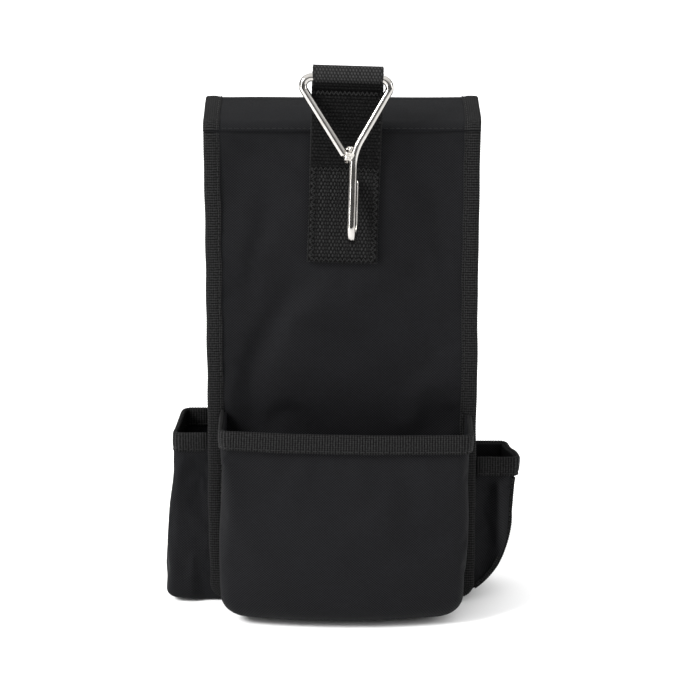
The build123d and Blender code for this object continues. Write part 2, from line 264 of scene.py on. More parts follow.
class Solid:
    """Vertices and faces gathered from grids and threads, for one piece."""

    def __init__(self):
        self.points = []
        self.weave = []
        self.faces = []
        self.count = 0

    def add(self, points, weave, faces):
        self.points.append(points)
        self.weave.append(weave)
        self.faces.extend((faces + self.count).tolist())
        self.count += len(points)

    def shell(self, grid, thickness, outward, weave=None):
        """Closes a grid into a sheet: the grid is its outer face, whose middle faces outward."""
        rows, columns = grid.shape[:2]
        if weave is None:
            weave = grid_weave(grid)
        middle = grid_normals(grid)[rows // 2, columns // 2]
        if np.dot(middle, outward) < 0:
            grid, weave = grid[:, ::-1], weave[:, ::-1]
        inner = grid - grid_normals(grid) * thickness
        points = np.concatenate([grid.reshape(-1, 3), inner.reshape(-1, 3)])
        below = rows * columns
        index = np.arange(below).reshape(rows, columns)
        face = grid_faces(index)
        back = face[:, [0, 3, 2, 1]] + below
        edges = (index[::-1, 0], index[:, -1], index[0, :], index[-1, ::-1])
        rims = [np.stack([e[:-1], e[1:], e[1:] + below, e[:-1] + below], axis=-1) for e in edges]
        both = np.concatenate([weave.reshape(-1, 3)] * 2)
        self.add(points, both, np.concatenate([face, back, *rims]))

    def threads(self, starts, ends, outward, radius=THREAD, sides=7):
        """One short raised thread from each start to its end, sunk into the cloth at both."""
        count = len(starts)
        along = ends - starts
        along = along / np.linalg.norm(along, axis=1, keepdims=True)
        across = np.cross(along, outward)
        across /= np.linalg.norm(across, axis=1, keepdims=True)
        up = np.cross(across, along)
        share = np.array([0.0, 0.14, 0.5, 0.86, 1.0])
        lift = np.array([-0.9, 0.25, 0.6, 0.25, -0.9]) * radius
        girth = np.array([0.55, 0.95, 1.0, 0.95, 0.55]) * radius
        angle = np.arange(sides) * 2 * math.pi / sides
        ring = np.cos(angle)[:, None, None] * up + np.sin(angle)[:, None, None] * across
        points = []
        for t, height, r in zip(share, lift, girth):
            centre = starts + (ends - starts) * t + up * height
            points.append(centre + ring * r)
        points = np.stack(points, axis=1).transpose(2, 1, 0, 3)  # thread, ring, side
        rings = len(share)
        offsets = np.arange(count) * rings * sides
        faces = (tube_faces(rings, sides)[None] + offsets[:, None, None]).reshape(-1, 4)
        weave = np.zeros((count * rings * sides, 3))
        weave[:, 0] = np.repeat(np.arange(count), rings * sides) * THREAD_APART
        weave[:, 1] = np.tile(np.repeat(share * STITCH, sides), count)
        first = np.arange(sides)
        before = self.count
        self.add(points.reshape(-1, 3), weave, faces)
        for offset in offsets + before:
            self.faces.append((first + offset).tolist())
            self.faces.append((first[::-1] + offset + (rings - 1) * sides).tolist())

    def mesh(self, name):
        data = bpy.data.meshes.new(name)
        points = np.concatenate(self.points) * MM
        data.from_pydata(points.tolist(), [], self.faces)
        data.update()
        attribute = data.attributes.new("weave", "FLOAT_VECTOR", "POINT")
        weave = np.concatenate(self.weave).astype(np.float32)
        attribute.data.foreach_set("vector", weave.ravel())
        data.polygons.foreach_set("use_smooth", np.ones(len(data.polygons), bool))
        return data


def grid_weave(grid):
    """Distances along the middle of a grid both ways, as its place on the cloth."""
    rows, columns = grid.shape[:2]
    return weave_over(grid, distances(grid[:, columns // 2]), distances(grid[rows // 2, :]))


def weave_over(grid, along, across, painted_tone=0):
    """Places on the cloth for a grid's points, from the places of its rows and columns."""
    weave = np.zeros((*grid.shape[:2], 3))
    weave[..., 0] = along[:, None]
    weave[..., 1] = across[None, :]
    weave[..., 2] = painted_tone
    return weave


def new_object(name, data):
    made = bpy.data.objects.new(name, data)
    bpy.context.scene.collection.objects.link(made)
    return made


def add_piece(name, solid, material, nodes=(), body="pouch", subdivide=0):
    """Makes the object with its material, hides the CAD nodes it stands for, and parents it to its
    body when body is a name; for a fold's bodies it only bakes its transform.
    """
    piece = new_object(name, solid.mesh(name))
    piece.data.materials.append(material)
    if subdivide:
        modifier = piece.modifiers.new("round", "SUBSURF")
        modifier.levels = modifier.render_levels = subdivide
        bpy.context.view_layer.update()
        seen = piece.evaluated_get(bpy.context.evaluated_depsgraph_get())
        piece.data = bpy.data.meshes.new_from_object(seen)
        piece.modifiers.clear()
    if nodes:
        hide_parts(*nodes)
    if isinstance(body, str):
        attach(piece, body)
    else:
        near, far, start, end = body
        [c * MM for c in start]
        [c * MM for c in end]
        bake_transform(piece)
    return piece


def add_cloth(name, grid, outward, nodes, weave=None, body="pouch", subdivide=1):
    """A sheet of pack cloth whose outer face is the grid."""
    solid = Solid()
    solid.shell(grid, CLOTH, outward, weave)
    return add_piece(name, solid, PACK_CLOTH, nodes, body, subdivide)


# Cloth that settles


def settled(grid, pinned, slack, push=0.0, cap=4.0, frames=14, stiffness=3.0):
    """Lets a grid of cloth hang from its pinned points and returns where it comes to rest.

    slack is how much longer the cloth is than the drawn shape, and push is an outward pressure,
    as from what the pouch carries. No point moves further than cap.
    """
    index = np.arange(grid[..., 0].size).reshape(grid.shape[:2])
    data = bpy.data.meshes.new("settling")
    data.from_pydata((grid.reshape(-1, 3) * MM).tolist(), [], grid_faces(index).tolist())
    cloth = new_object("settling", data)
    group = cloth.vertex_groups.new(name="pin")
    group.add(index[pinned].tolist(), 1.0, "REPLACE")
    modifier = cloth.modifiers.new("cloth", "CLOTH")
    settings = modifier.settings
    settings.vertex_group_mass = "pin"
    settings.quality = 6
    settings.mass = 0.0006
    settings.tension_stiffness = settings.compression_stiffness = 12
    settings.shear_stiffness = 6
    settings.bending_stiffness = stiffness
    settings.air_damping = 2
    settings.shrink_min = -slack
    settings.use_pressure = push != 0
    settings.uniform_pressure_force = push
    modifier.collision_settings.use_collision = False
    scene = bpy.context.scene
    modifier.point_cache.frame_start, modifier.point_cache.frame_end = 1, frames
    for number in range(1, frames + 1):
        scene.frame_set(number)
    seen = cloth.evaluated_get(bpy.context.evaluated_depsgraph_get())
    moved = np.zeros(grid.size)
    seen.data.vertices.foreach_get("co", moved)
    scene.frame_set(1)
    bpy.data.objects.remove(cloth)
    bpy.data.meshes.remove(data)
    shift = moved.reshape(grid.shape) / MM - grid
    length = np.linalg.norm(shift, axis=2, keepdims=True)
    return grid + shift * np.minimum(1, cap / np.maximum(length, 1e-9))


def border(shape, reach=1):
    """True for a grid's outermost points, which the settling cloth is pinned at."""
    i = np.arange(shape[0])[:, None]
    j = np.arange(shape[1])[None, :]
    edge = np.minimum(np.minimum(i, shape[0] - 1 - i), np.minimum(j, shape[1] - 1 - j))
    return edge < reach


# Materials


class Shader:
    """A new material, with short ways to add nodes to it."""

    def __init__(self, name, colour, roughness, metallic=0.0):
        self.material = bpy.data.materials.new(name)
        self.material.use_nodes = True
        self.tree = self.material.node_tree
        self.surface = self.tree.nodes["Principled BSDF"]
        self.set(Base_Color=(*colour, 1), Roughness=roughness, Metallic=metallic)

    def node(self, kind, inputs=(), output=0, **settings):
        made = self.tree.nodes.new(kind)
        for key, value in settings.items():
            setattr(made, key, value)
        for key, value in dict(inputs).items():
            self.put(made.inputs[key], value)
        return made.outputs[output]

    def put(self, socket, value):
        if isinstance(value, bpy.types.NodeSocket):
            self.tree.links.new(value, socket)
        else:
            socket.default_value = value

    def set(self, **inputs):
        for key, value in inputs.items():
            self.put(self.surface.inputs[key.replace("_", " ")], value)

    def math(self, operation, a, b=0.0):
        return self.node("ShaderNodeMath", {0: a, 1: b}, operation=operation)

    def times(self, a, b):
        return self.math("MULTIPLY", a, b)

    def total(self, first, *more):
        for term in more:
            first = self.math("ADD", first, term)
        return first

    def weave(self):
        """The cloth coordinates, in millimetres, and the webbing's tone, which holds painted
        light.
        """
        vector = self.node("ShaderNodeAttribute", output="Vector", attribute_name="weave")
        split = self.tree.nodes.new("ShaderNodeSeparateXYZ")
        self.put(split.inputs[0], vector)
        return split.outputs[0], split.outputs[1], split.outputs[2], vector

    def place(self):
        """Object coordinates, in millimetres."""
        metres = self.node("ShaderNodeTexCoord", output="Object")
        scale = {0: metres, 1: (1 / MM, 1 / MM, 1 / MM)}
        return self.node("ShaderNodeVectorMath", scale, operation="MULTIPLY")

    def wave(self, coordinate, period):
        """sin, with one full turn each period millimetres."""
        return self.math("SINE", self.times(coordinate, 2 * math.pi / period))

    def noise(self, vector, scale, detail=3.0, roughness=0.55):
        inputs = {"Vector": vector, "Scale": scale, "Detail": detail, "Roughness": roughness}
        return self.node("ShaderNodeTexNoise", inputs)

    def remap(self, value, low, high, out_low, out_high):
        inputs = {"Value": value, "From Min": low, "From Max": high}
        return self.node("ShaderNodeMapRange", {**inputs, "To Min": out_low, "To Max": out_high})

    def colour(self, factor, low, high):
        """Makes the base colour one between low and high."""
        made = self.tree.nodes.new("ShaderNodeMix")
        made.data_type = "RGBA"
        self.put(made.inputs["Factor"], factor)
        ends = [socket for socket in made.inputs if socket.type == "RGBA"]
        self.put(ends[0], (*low, 1))
        self.put(ends[1], (*high, 1))
        self.set(Base_Color=next(socket for socket in made.outputs if socket.type == "RGBA"))

    def bump(self, height, distance):
        """Bump whose relief is distance, in millimetres."""
        inputs = {"Height": height, "Distance": distance * MM, "Strength": 1.0}
        self.set(Normal=self.node("ShaderNodeBump", inputs))


def woven(name, dark, light, pitch, sheen, painted_sheen_contrast, roughness=0.72, wear=0.3):
    """Plain-weave cloth: warp and weft crowns in a chequer of the given thread pitch, with painted
    sheen: warp crowns lighter than weft, and the gaps between crowns darker as painted shade.
    """
    shader = Shader(name, light, roughness)
    u, v, _, place = shader.weave()
    over_u = shader.wave(u, 2 * pitch)
    over_v = shader.wave(v, 1.84 * pitch)
    cell = shader.times(over_u, over_v)
    crown = shader.math("POWER", shader.math("ABSOLUTE", cell), 0.5)
    fibre = shader.noise(place, 2.2, 2.0)
    uneven = shader.noise(place, 0.035, 4.0)
    slub = shader.noise(place, 0.35, 3.0)
    # Painted light: the chequer and crown terms paint sheen on the yarn crowns and shade in the
    # gaps between them; fibre, slub and the uneven wear are the cloth's own tone.
    tint = shader.total(
        shader.remap(cell, -0.5, 0.5, 0.5 - painted_sheen_contrast, 0.5 + painted_sheen_contrast),
        shader.remap(crown, 0, 1, -0.18, 0.12),
        shader.remap(fibre, 0.3, 0.7, -0.16, 0.16),
        shader.remap(slub, 0.35, 0.65, -0.07, 0.07),
        shader.remap(uneven, 0.35, 0.65, -wear / 2, wear / 2),
    )
    shader.colour(tint, dark, light)
    shader.set(Roughness=shader.remap(uneven, 0.3, 0.7, roughness - 0.07, roughness + 0.07))
    shader.bump(shader.total(crown, shader.times(fibre, 0.35)), 0.10)
    shader.set(Sheen_Weight=sheen, Sheen_Roughness=0.45, Specular_IOR_Level=0.07)
    return shader.material


def ribbed(name, dark, light, sheen):
    """Grosgrain tape: ribs across it in the mesh, and fine yarns along it here; the grooves
    between the ribs are painted dark as shade, and the rib crowns light as highlight.
    """
    shader = Shader(name, light, 0.68)
    u, v, _, place = shader.weave()
    rib = shader.math("COSINE", shader.times(u, 2 * math.pi / TAPE_RIB_PITCH))
    yarn = shader.math("ABSOLUTE", shader.wave(v, 2.4))
    fibre = shader.noise(place, 1.0, 3.0)
    # Painted light: the rib term darkens the grooves between the mesh's ribs as painted shade and
    # lightens their crowns as painted highlight.
    tint = shader.total(
        shader.remap(rib, -0.9, 0.75, 0.72, -0.08),
        shader.remap(yarn, 0, 1, -0.2, 0.26),
        shader.remap(fibre, 0.3, 0.7, -0.42, 0.42),
    )
    shader.colour(tint, dark, light)
    shader.bump(shader.total(shader.times(yarn, 0.6), fibre), 0.07)
    shader.set(Sheen_Weight=sheen, Sheen_Roughness=0.4, Specular_IOR_Level=0.06)
    return shader.material


def webbing_material():
    """Coarse webbing: the knots are in the mesh, and the colour and yarn lines follow them; the
    colour also holds painted light from the tone in the mesh.
    """
    shader = Shader("webbing", (0.03, 0.03, 0.03), 0.5)
    _, v, painted_tone, place = shader.weave()
    fibre = shader.noise(place, 3.0, 2.0)
    strand = shader.math("ABSOLUTE", shader.wave(v, 0.68))
    # Painted light: the tone lightens the knot crowns, the strap's flat sewn part and the top of
    # its loop, as if lit from above.
    tint = shader.total(painted_tone, shader.remap(fibre, 0.3, 0.7, -0.16, 0.16))
    shader.colour(tint, (0.0002, 0.0002, 0.0002), (0.038, 0.038, 0.038))
    shader.bump(shader.total(shader.times(strand, 0.5), fibre), 0.06)
    shader.set(Roughness=shader.remap(painted_tone, 0, 1, 0.62, 0.4))
    shader.set(Sheen_Weight=0.01, Sheen_Roughness=0.4, Specular_IOR_Level=0.03)
    return shader.material


def thread_material():
    """Twisted polyester thread."""
    shader = Shader("sewing_thread", (0.022, 0.022, 0.022), 0.45)
    u, v, _, place = shader.weave()
    fibre = shader.noise(place, 1.5, 2.0)
    tint = shader.remap(fibre, 0.3, 0.7, 0.1, 0.9)
    shader.colour(tint, (0.0015, 0.0015, 0.0015), (0.0062, 0.0062, 0.0060))
    shader.bump(shader.wave(shader.total(v, u), 0.5), 0.05)
    shader.set(Specular_IOR_Level=0.2, Sheen_Weight=0.02)
    return shader.material


def touch_material(name, pile):
    """Hook-and-loop tape: a soft pile for loops, rows of stiff hooks otherwise."""
    shader = Shader(name, (0.012, 0.012, 0.012), 0.9 if pile else 0.6)
    u, v, _, place = shader.weave()
    if pile:
        height = shader.noise(place, 1.3, 4.0, 0.7)
    else:
        height = shader.math("ABSOLUTE", shader.times(shader.wave(u, 1.2), shader.wave(v, 1.6)))
    shader.colour(height, (0.001, 0.001, 0.001), (0.014, 0.014, 0.014))
    shader.bump(height, 0.5)
    shader.set(Sheen_Weight=0.03 if pile else 0.0, Specular_IOR_Level=0.15)
    return shader.material


def plated_steel():
    """Bright nickel plate over drawn wire, with handling marks and dulling."""
    shader = Shader("nickel_plate", (0.72, 0.70, 0.67), 0.14, metallic=1.0)
    place = shader.place()
    dull = shader.noise(place, 0.09, 4.0)
    speck = shader.noise(place, 1.6, 3.0)
    worn = shader.remap(dull, 0.35, 0.65, 0, 1)
    shader.colour(worn, (0.36, 0.345, 0.325), (0.50, 0.485, 0.465))
    marks = shader.remap(speck, 0.45, 0.75, 0, 0.10)
    shader.set(Roughness=shader.total(shader.remap(dull, 0.35, 0.7, 0.07, 0.13), marks))
    shader.bump(speck, 0.004)
    return shader.material


def weld_metal():
    """The same plate over a lumpy weld."""
    shader = Shader("plated_weld", (0.66, 0.64, 0.6), 0.2, metallic=1.0)
    lumps = shader.noise(shader.place(), 0.7, 4.0)
    shader.set(Roughness=shader.remap(lumps, 0.3, 0.7, 0.12, 0.32))
    shader.colour(lumps, (0.34, 0.32, 0.29), (0.6, 0.58, 0.55))
    shader.bump(lumps, 0.3)
    return shader.material


def board_plastic():
    """Polyethylene board with a faint pebble."""
    shader = Shader("stiffener_board", (0.03, 0.03, 0.03), 0.5)
    pebble = shader.noise(shader.place(), 1.1, 2.0)
    shader.colour(pebble, (0.02, 0.02, 0.02), (0.045, 0.045, 0.045))
    shader.bump(pebble, 0.1)
    return shader.material


PACK_CLOTH = woven(
    "pack_cloth", (0.0004, 0.0004, 0.0005), (0.0108, 0.0111, 0.0125),
    pitch=0.80, sheen=0.004, painted_sheen_contrast=0.62, wear=0.2,
)
LINING_CLOTH = woven(
    "lining_cloth", (0.004, 0.004, 0.004), (0.018, 0.018, 0.019),
    pitch=0.35, sheen=0.04, painted_sheen_contrast=0.2, roughness=0.55,
)
EDGE_TAPE = ribbed("edge_tape", (0.0003, 0.0003, 0.0003), (0.0182, 0.0182, 0.0184), sheen=0.004)
WEBBING_BLACK = webbing_material()
SEWING_THREAD = thread_material()
LOOP_PILE = touch_material("loop_pile", True)
HOOK_PILE = touch_material("hook_pile", False)
NICKEL = plated_steel()
WELD = weld_metal()
BOARD = board_plastic()


# Stitches and tapes


def over(vector, line):
    """A direction, or one for each point of a line, as one for each point."""
    return np.broadcast_to(np.asarray(vector, float), line.shape)


def along_line(line, outward, stitch=STITCH, gap=STITCH_GAP):
    """Starts, ends and outward directions of a row of straight stitches on a line."""
    starts = np.arange(gap, distances(line)[-1] - stitch, stitch + gap)
    facing = read_along(line, over(outward, line), starts + stitch / 2)
    return read_along(line, line, starts), read_along(line, line, starts + stitch), facing


def zigzag(line, outward, width, pitch):
    """Starts, ends and outward directions of zigzag stitches that straddle a line."""
    lengths = np.arange(0, distances(line)[-1], pitch / 2)
    points = read_along(line, line, lengths)
    facing = read_along(line, over(outward, line), lengths)
    side = np.cross(facing, read_along(line, tangents(line), lengths))
    swing = np.where(np.arange(len(lengths)) % 2, 0.5, -0.5) * width
    points = points + side * swing[:, None]
    return points[:-1], points[1:], facing[:-1]


def tape_profile(width, half, columns=9):
    """Across a folded tape, from its back leg round the fold to its front leg.

    Gives the distance in from the fold, the height off the middle, and that point's direction
    outward, for each column. Each leg is pinched where it is sewn.
    """
    leg = np.linspace(width, half, columns)
    sewn = width - SEWN_IN
    swell = np.sin(math.pi * np.clip((leg - half) / (sewn - half), 0, 1))
    rise = half - 0.42 * bump(leg - sewn, 0.9) + 0.12 * swell
    turn = np.linspace(-math.pi / 2, math.pi / 2, 9)[1:-1]
    inward = np.concatenate([leg, half - half * np.cos(turn), leg[::-1]])
    height = np.concatenate([-rise, half * np.sin(turn), rise[::-1]])
    out_inward = np.concatenate([np.zeros(columns), -np.cos(turn), np.zeros(columns)])
    out_height = np.concatenate([-np.ones(columns), np.sin(turn), np.ones(columns)])
    return inward, height, out_inward, out_height


def add_tape(solid, sew, edge, inward, facing, seed, width, half, pinch):
    """A ribbed tape folded over an edge, in solid, and its two rows of stitches, in sew.

    edge is the line of the fold, evenly spaced; inward runs from it into the cloth and facing
    is the front leg's outward direction. pinch flattens both ends.
    """
    inward, facing = over(inward, edge), over(facing, edge)
    run = distances(edge)
    w, h, out_w, out_h = tape_profile(width, half)
    rib = -TAPE_RIB * (0.5 + 0.5 * np.cos(2 * math.pi * run / TAPE_RIB_PITCH))
    wander = 0.22 * ripples_along(run, 23.0, seed) * inside_ends(run, 8)
    in_w = w + np.outer(wander, (w / width) ** 3) + np.outer(rib, out_w)
    in_h = (h + np.outer(rib, out_h)) * (1 - pinch * (1 - inside_ends(run, 3)))[:, None]
    grid = edge[:, None] + inward[:, None] * in_w[..., None] + facing[:, None] * in_h[..., None]
    across = np.concatenate([[0.0], np.cumsum(np.hypot(np.diff(w), np.diff(h)))])
    solid.shell(grid, TAPE_SHEET, -inward[len(edge) // 2], weave_over(grid, run, across))
    for side in (1, -1):
        line = edge + inward * (width - SEWN_IN) + facing * side * (half - 0.40)
        sew.threads(*along_line(line, facing * side), radius=FINE_THREAD)


def add_bound(name, node, stretches, width, half=TAPE_HALF, pinch=0.38, body="pouch"):
    """The tape that stands for a CAD node, and the stitches that hold it, as two pieces.

    Each of its stretches is (edge, inward, facing, seed), as in add_tape.
    """
    tape, sewing = Solid(), Solid()
    for stretch in stretches:
        add_tape(tape, sewing, *stretch, width, half, pinch)
    add_piece(f"{name}_binding", tape, EDGE_TAPE, [node], body)
    add_piece(f"{name}_stitching", sewing, SEWING_THREAD, (), body)


# The body


def panel_grid(low, high, corner, y_at, step=CLOTH_STEP):
    """A panel's outer face: rows up from its foot, whose corners are round."""
    half = high[0]
    foot, top = low[2], high[2]
    rounds = foot + corner * (1 - np.cos(quarter_turn(12)))
    z = np.concatenate([rounds[:-1], np.linspace(foot + corner, top, round((top - foot) / step))])
    u = np.linspace(-1, 1, round(2 * half / step))
    x = (half - inset_at(z - foot, corner))[:, None] * u[None, :]
    z = np.broadcast_to(z[:, None], x.shape)
    grid = np.stack([x, y_at(x, z), z], axis=-1)
    return grid, np.stack([x, z, np.zeros_like(x)], axis=-1)


def held_edge(x, z, half, foot, top, reach=11.0):
    """0 on a panel's edges and under its tape, and 1 inside."""
    side = np.minimum(half - np.abs(x), np.minimum(z - foot, top - z))
    return smoothstep((side - reach) / 16.0)


FLAP_DIP = 2.4  # how far cloth edges stop short under the flap's near fold


def top_lean(x, z):
    """How far the front panel's sides stand forward near the top, to meet the flap's cloth."""
    return 1.5 * smoothstep((z - 238) / 36) * smoothstep((np.abs(x) - 44) / 24)


def build_front_panel():
    half = PANEL_HIGH[0]
    foot, top = PANEL_LOW[2], PANEL_HIGH[2] - FLAP_DIP
    strap_half, strap_foot = STRAP_WIDTH / 2, STRAP_LOW[2]

    def y_at(x, z):
        free = held_edge(x, z, half, foot, top)
        clear = 1 - smoothstep((30 - np.abs(x)) / 10) * smoothstep((z - strap_foot + 12) / 12)
        dent = valleys(
            x, z,
            ((-16, strap_foot + 6), (-64, 112), 1.9, 8.0),
            ((-34, 262), (-60, 150), 0.9, 7.0),
            ((22, strap_foot + 4), (62, 128), 1.2, 9.0),
            ((-50, 205), (10, 130), 0.7, 10.0),
            ((45, 255), (66, 175), 0.9, 6.0),
        )
        dent += 0.38 * ripples(x, z, 62.0, 11)
        return PANEL_LOW[1] - free * clear * dent * 1.15 - top_lean(x, z)

    high = np.array([half, 0, top])
    grid, weave = panel_grid(PANEL_LOW, high, FLANGE_CORNER - TAPE_SHELL, y_at)
    x, z = grid[..., 0], grid[..., 2]
    hold = border(grid.shape[:2], 2)
    hold |= np.abs(x) > half - SEAM_WIDTH
    hold |= (np.abs(x) < strap_half + 3) & (z > strap_foot - 3)
    hold |= z > ROOT_LOW[2] - 2
    grid = settled(grid, hold, slack=0.006, cap=1.6, stiffness=6.0)
    add_cloth("front_panel_cloth", grid, (0, -1, 0), ["front_panel"], weave)


def build_rear_panel():
    def y_at(x, z):
        free = held_edge(x, z, REAR_HIGH[0], REAR_LOW[2], REAR_HIGH[2])
        return REAR_HIGH[1] + free * (0.35 * ripples(x, z, 70.0, 23) - 0.2)

    grid, weave = panel_grid(REAR_LOW, REAR_HIGH, FLANGE_CORNER - TAPE_SHELL, y_at)
    add_cloth("rear_panel_cloth", grid, (0, 1, 0), ["rear_panel"], weave)


def rim_dip(y):
    """How far the sides of the compartment's mouth dip under the flap's near fold."""
    return FLAP_DIP * smoothstep((-4 - y) / 13)


def build_gusset():
    """The strip down one side, along the base and up the other, sagging in between the panels."""
    top = GUSSET_HIGH[2]
    line = u_line(GUSSET_HIGH[0], GUSSET_LOW[2], top, BOX_CORNER, CLOTH_STEP)
    inward = left_of(line)
    t = np.linspace(-1, 1, 19)
    x, z = line[:, 0], line[:, 1]
    side = smoothstep((z - 14) / 30) * smoothstep((top - RIM_WIDTH - 2 - z) / 30)
    crease = ripples(z, x, 48.0, 5) * 1.1 + ripples(z, x, 21.0, 6) * 0.35
    sag = (2.6 + crease)[:, None] * side[:, None] * (1 - t[None, :] ** 2)
    grid = np.zeros((len(line), len(t), 3))
    grid[..., 0] = x[:, None] + inward[:, :1] * sag
    grid[..., 1] = t[None, :] * GUSSET_HIGH[1]
    grid[..., 2] = z[:, None] + inward[:, 1:] * sag
    grid[..., 2] -= rim_dip(grid[..., 1]) * smoothstep((grid[..., 2] - 240) / 30)
    hold = border(grid.shape[:2])
    hold[(z < BOX_CORNER) | (z > top - RIM_WIDTH - 4)] = True
    grid = settled(grid, hold, slack=0.02, cap=2.5, stiffness=4.0)
    add_cloth("body_gusset_cloth", grid, (0, 0, -1), ["body_gusset"])


def seam_edge(low, high, y_middle, top, seed):
    """The fold line of a panel's tape, and its inward directions."""
    line = u_line(high[0], low[2] - 2.8, top, FLANGE_CORNER - 4, FINE_STEP)
    inward = np.insert(left_of(line), 1, 0, axis=1)
    run = distances(line)
    sway = 0.35 * ripples_along(run, 70.0, seed) + 0.12 * ripples_along(run, 19.0, seed + 1)
    y = y_middle + sway * 0.8
    if y_middle < 0:
        y = y - top_lean(line[:, 0], line[:, 1])
    edge = np.stack([line[:, 0], y, line[:, 1]], axis=1)
    inset = 0.25 + 0.2 * ripples_along(run, 33.0, seed + 2)
    edge += inward * (inset * smoothstep((top - edge[:, 2]) / 25))[:, None]
    return edge, inward


def build_seam_tapes():
    for name, node, side, nudge, dip, seed, tape_seed in (
        ("front_seam", "front_seam_tape", -1, 0.1, FLAP_DIP, 3, 31),
        ("rear_seam", "rear_seam_tape", 1, 0.0, 0.0, 13, 37),
    ):
        low, high = node_box(node)
        edge, inward = seam_edge(low, high, (low[1] + high[1]) / 2 + nudge, high[2] - dip, seed)
        add_bound(name, node, [(edge, inward, (0, side, 0), tape_seed)], SEAM_WIDTH)


def build_compartment():
    """The tape round the compartment's mouth, and the lining against its rear wall."""
    top = RIM_HIGH[2]
    down = (0, 0, -1)
    middle = (REAR_LOW[1] + REAR_HIGH[1]) / 2
    half = REAR_SEAM_HIGH[0] - 0.3
    edge = resampled(np.array([(-half, middle, top), (half, middle, top)]), FINE_STEP)
    stretches = [(edge, down, (0, 1, 0), 41)]
    side_x = GUSSET_HIGH[0] - CLOTH / 2
    y = np.arange(GUSSET_LOW[1] + 0.2, GUSSET_HIGH[1] - 0.2, FINE_STEP)
    for side in (-1, 1):
        edge = np.stack([np.full(len(y), side * side_x), y, top - rim_dip(y)], axis=1)
        stretches.append((edge, down, (side, 0, 0), 42 + side))
    add_bound("compartment_rim", "compartment_rim_tape", stretches, RIM_WIDTH)

    def y_at(x, z):
        free = held_edge(x, z, LINING_HIGH[0], LINING_LOW[2], LINING_HIGH[2], 1.0)
        return LINING_LOW[1] - free * (0.5 + 0.4 * ripples(x, z, 38.0, 51))

    grid, weave = panel_grid(LINING_LOW, LINING_HIGH, BOX_CORNER - 2, y_at, 3.0)
    solid = Solid()
    solid.shell(grid, LINING_HIGH[1] - LINING_LOW[1], (0, -1, 0), weave)
    add_piece("rear_wall_lining", solid, LINING_CLOTH, ["rear_lining"], subdivide=1)


# The pockets


def pocket_plan(reach, half, corner, side, turn, face):
    """A pocket seen from above, as (out, across): out from its root, round its mouth and back.

    reach is how far it stands out from its root, and half is half its width. side, turn and
    face are the counts of points along a side, round a corner and along the face.
    """
    angle = quarter_turn(turn + 1)[1:]
    corner = min(corner, reach * 0.8)
    first = angle[0]
    out = [
        np.linspace(0, reach - corner, side),
        reach - corner + corner * np.sin(angle),
        np.full(face - 1, reach),
        reach - corner + corner * np.cos(angle - first),
        np.linspace(reach - corner, 0, side),
    ]
    across = [
        np.full(side, -half),
        -half + corner * (1 - np.cos(angle)),
        np.linspace(-half + corner, half - corner, face + 1)[1:-1],
        half - corner + corner * np.sin(angle - first),
        np.full(side, half),
    ]
    return np.concatenate(out), np.concatenate(across)


def rim_line(grid):
    """The fold line of the tape round a pocket's mouth, with its directions, from its grid."""
    facing = grid_normals(grid)[:, 0]
    down = grid[:, 3] - grid[:, 0]
    down /= np.linalg.norm(down, axis=1, keepdims=True)
    edge = grid[:, 0] - facing * CLOTH / 2 - down * TAPE_SHELL
    run = distances(edge)
    even = np.linspace(0, run[-1], round(run[-1] / FINE_STEP))
    edge, down, facing = [read_along(edge, values, even) for values in (edge, down, facing)]
    flow = tangents(edge)
    down -= flow * np.sum(down * flow, axis=1, keepdims=True)
    down /= np.linalg.norm(down, axis=1, keepdims=True)
    return edge, down, facing


def close_floor(columns, line, shares):
    """A pocket's grid: its rings, and more of them in to the line that its floor is sewn to."""
    last = columns[-1]
    floor = [last * (1 - share) + line * share for share in shares]
    return np.stack([*columns, *floor], axis=1)


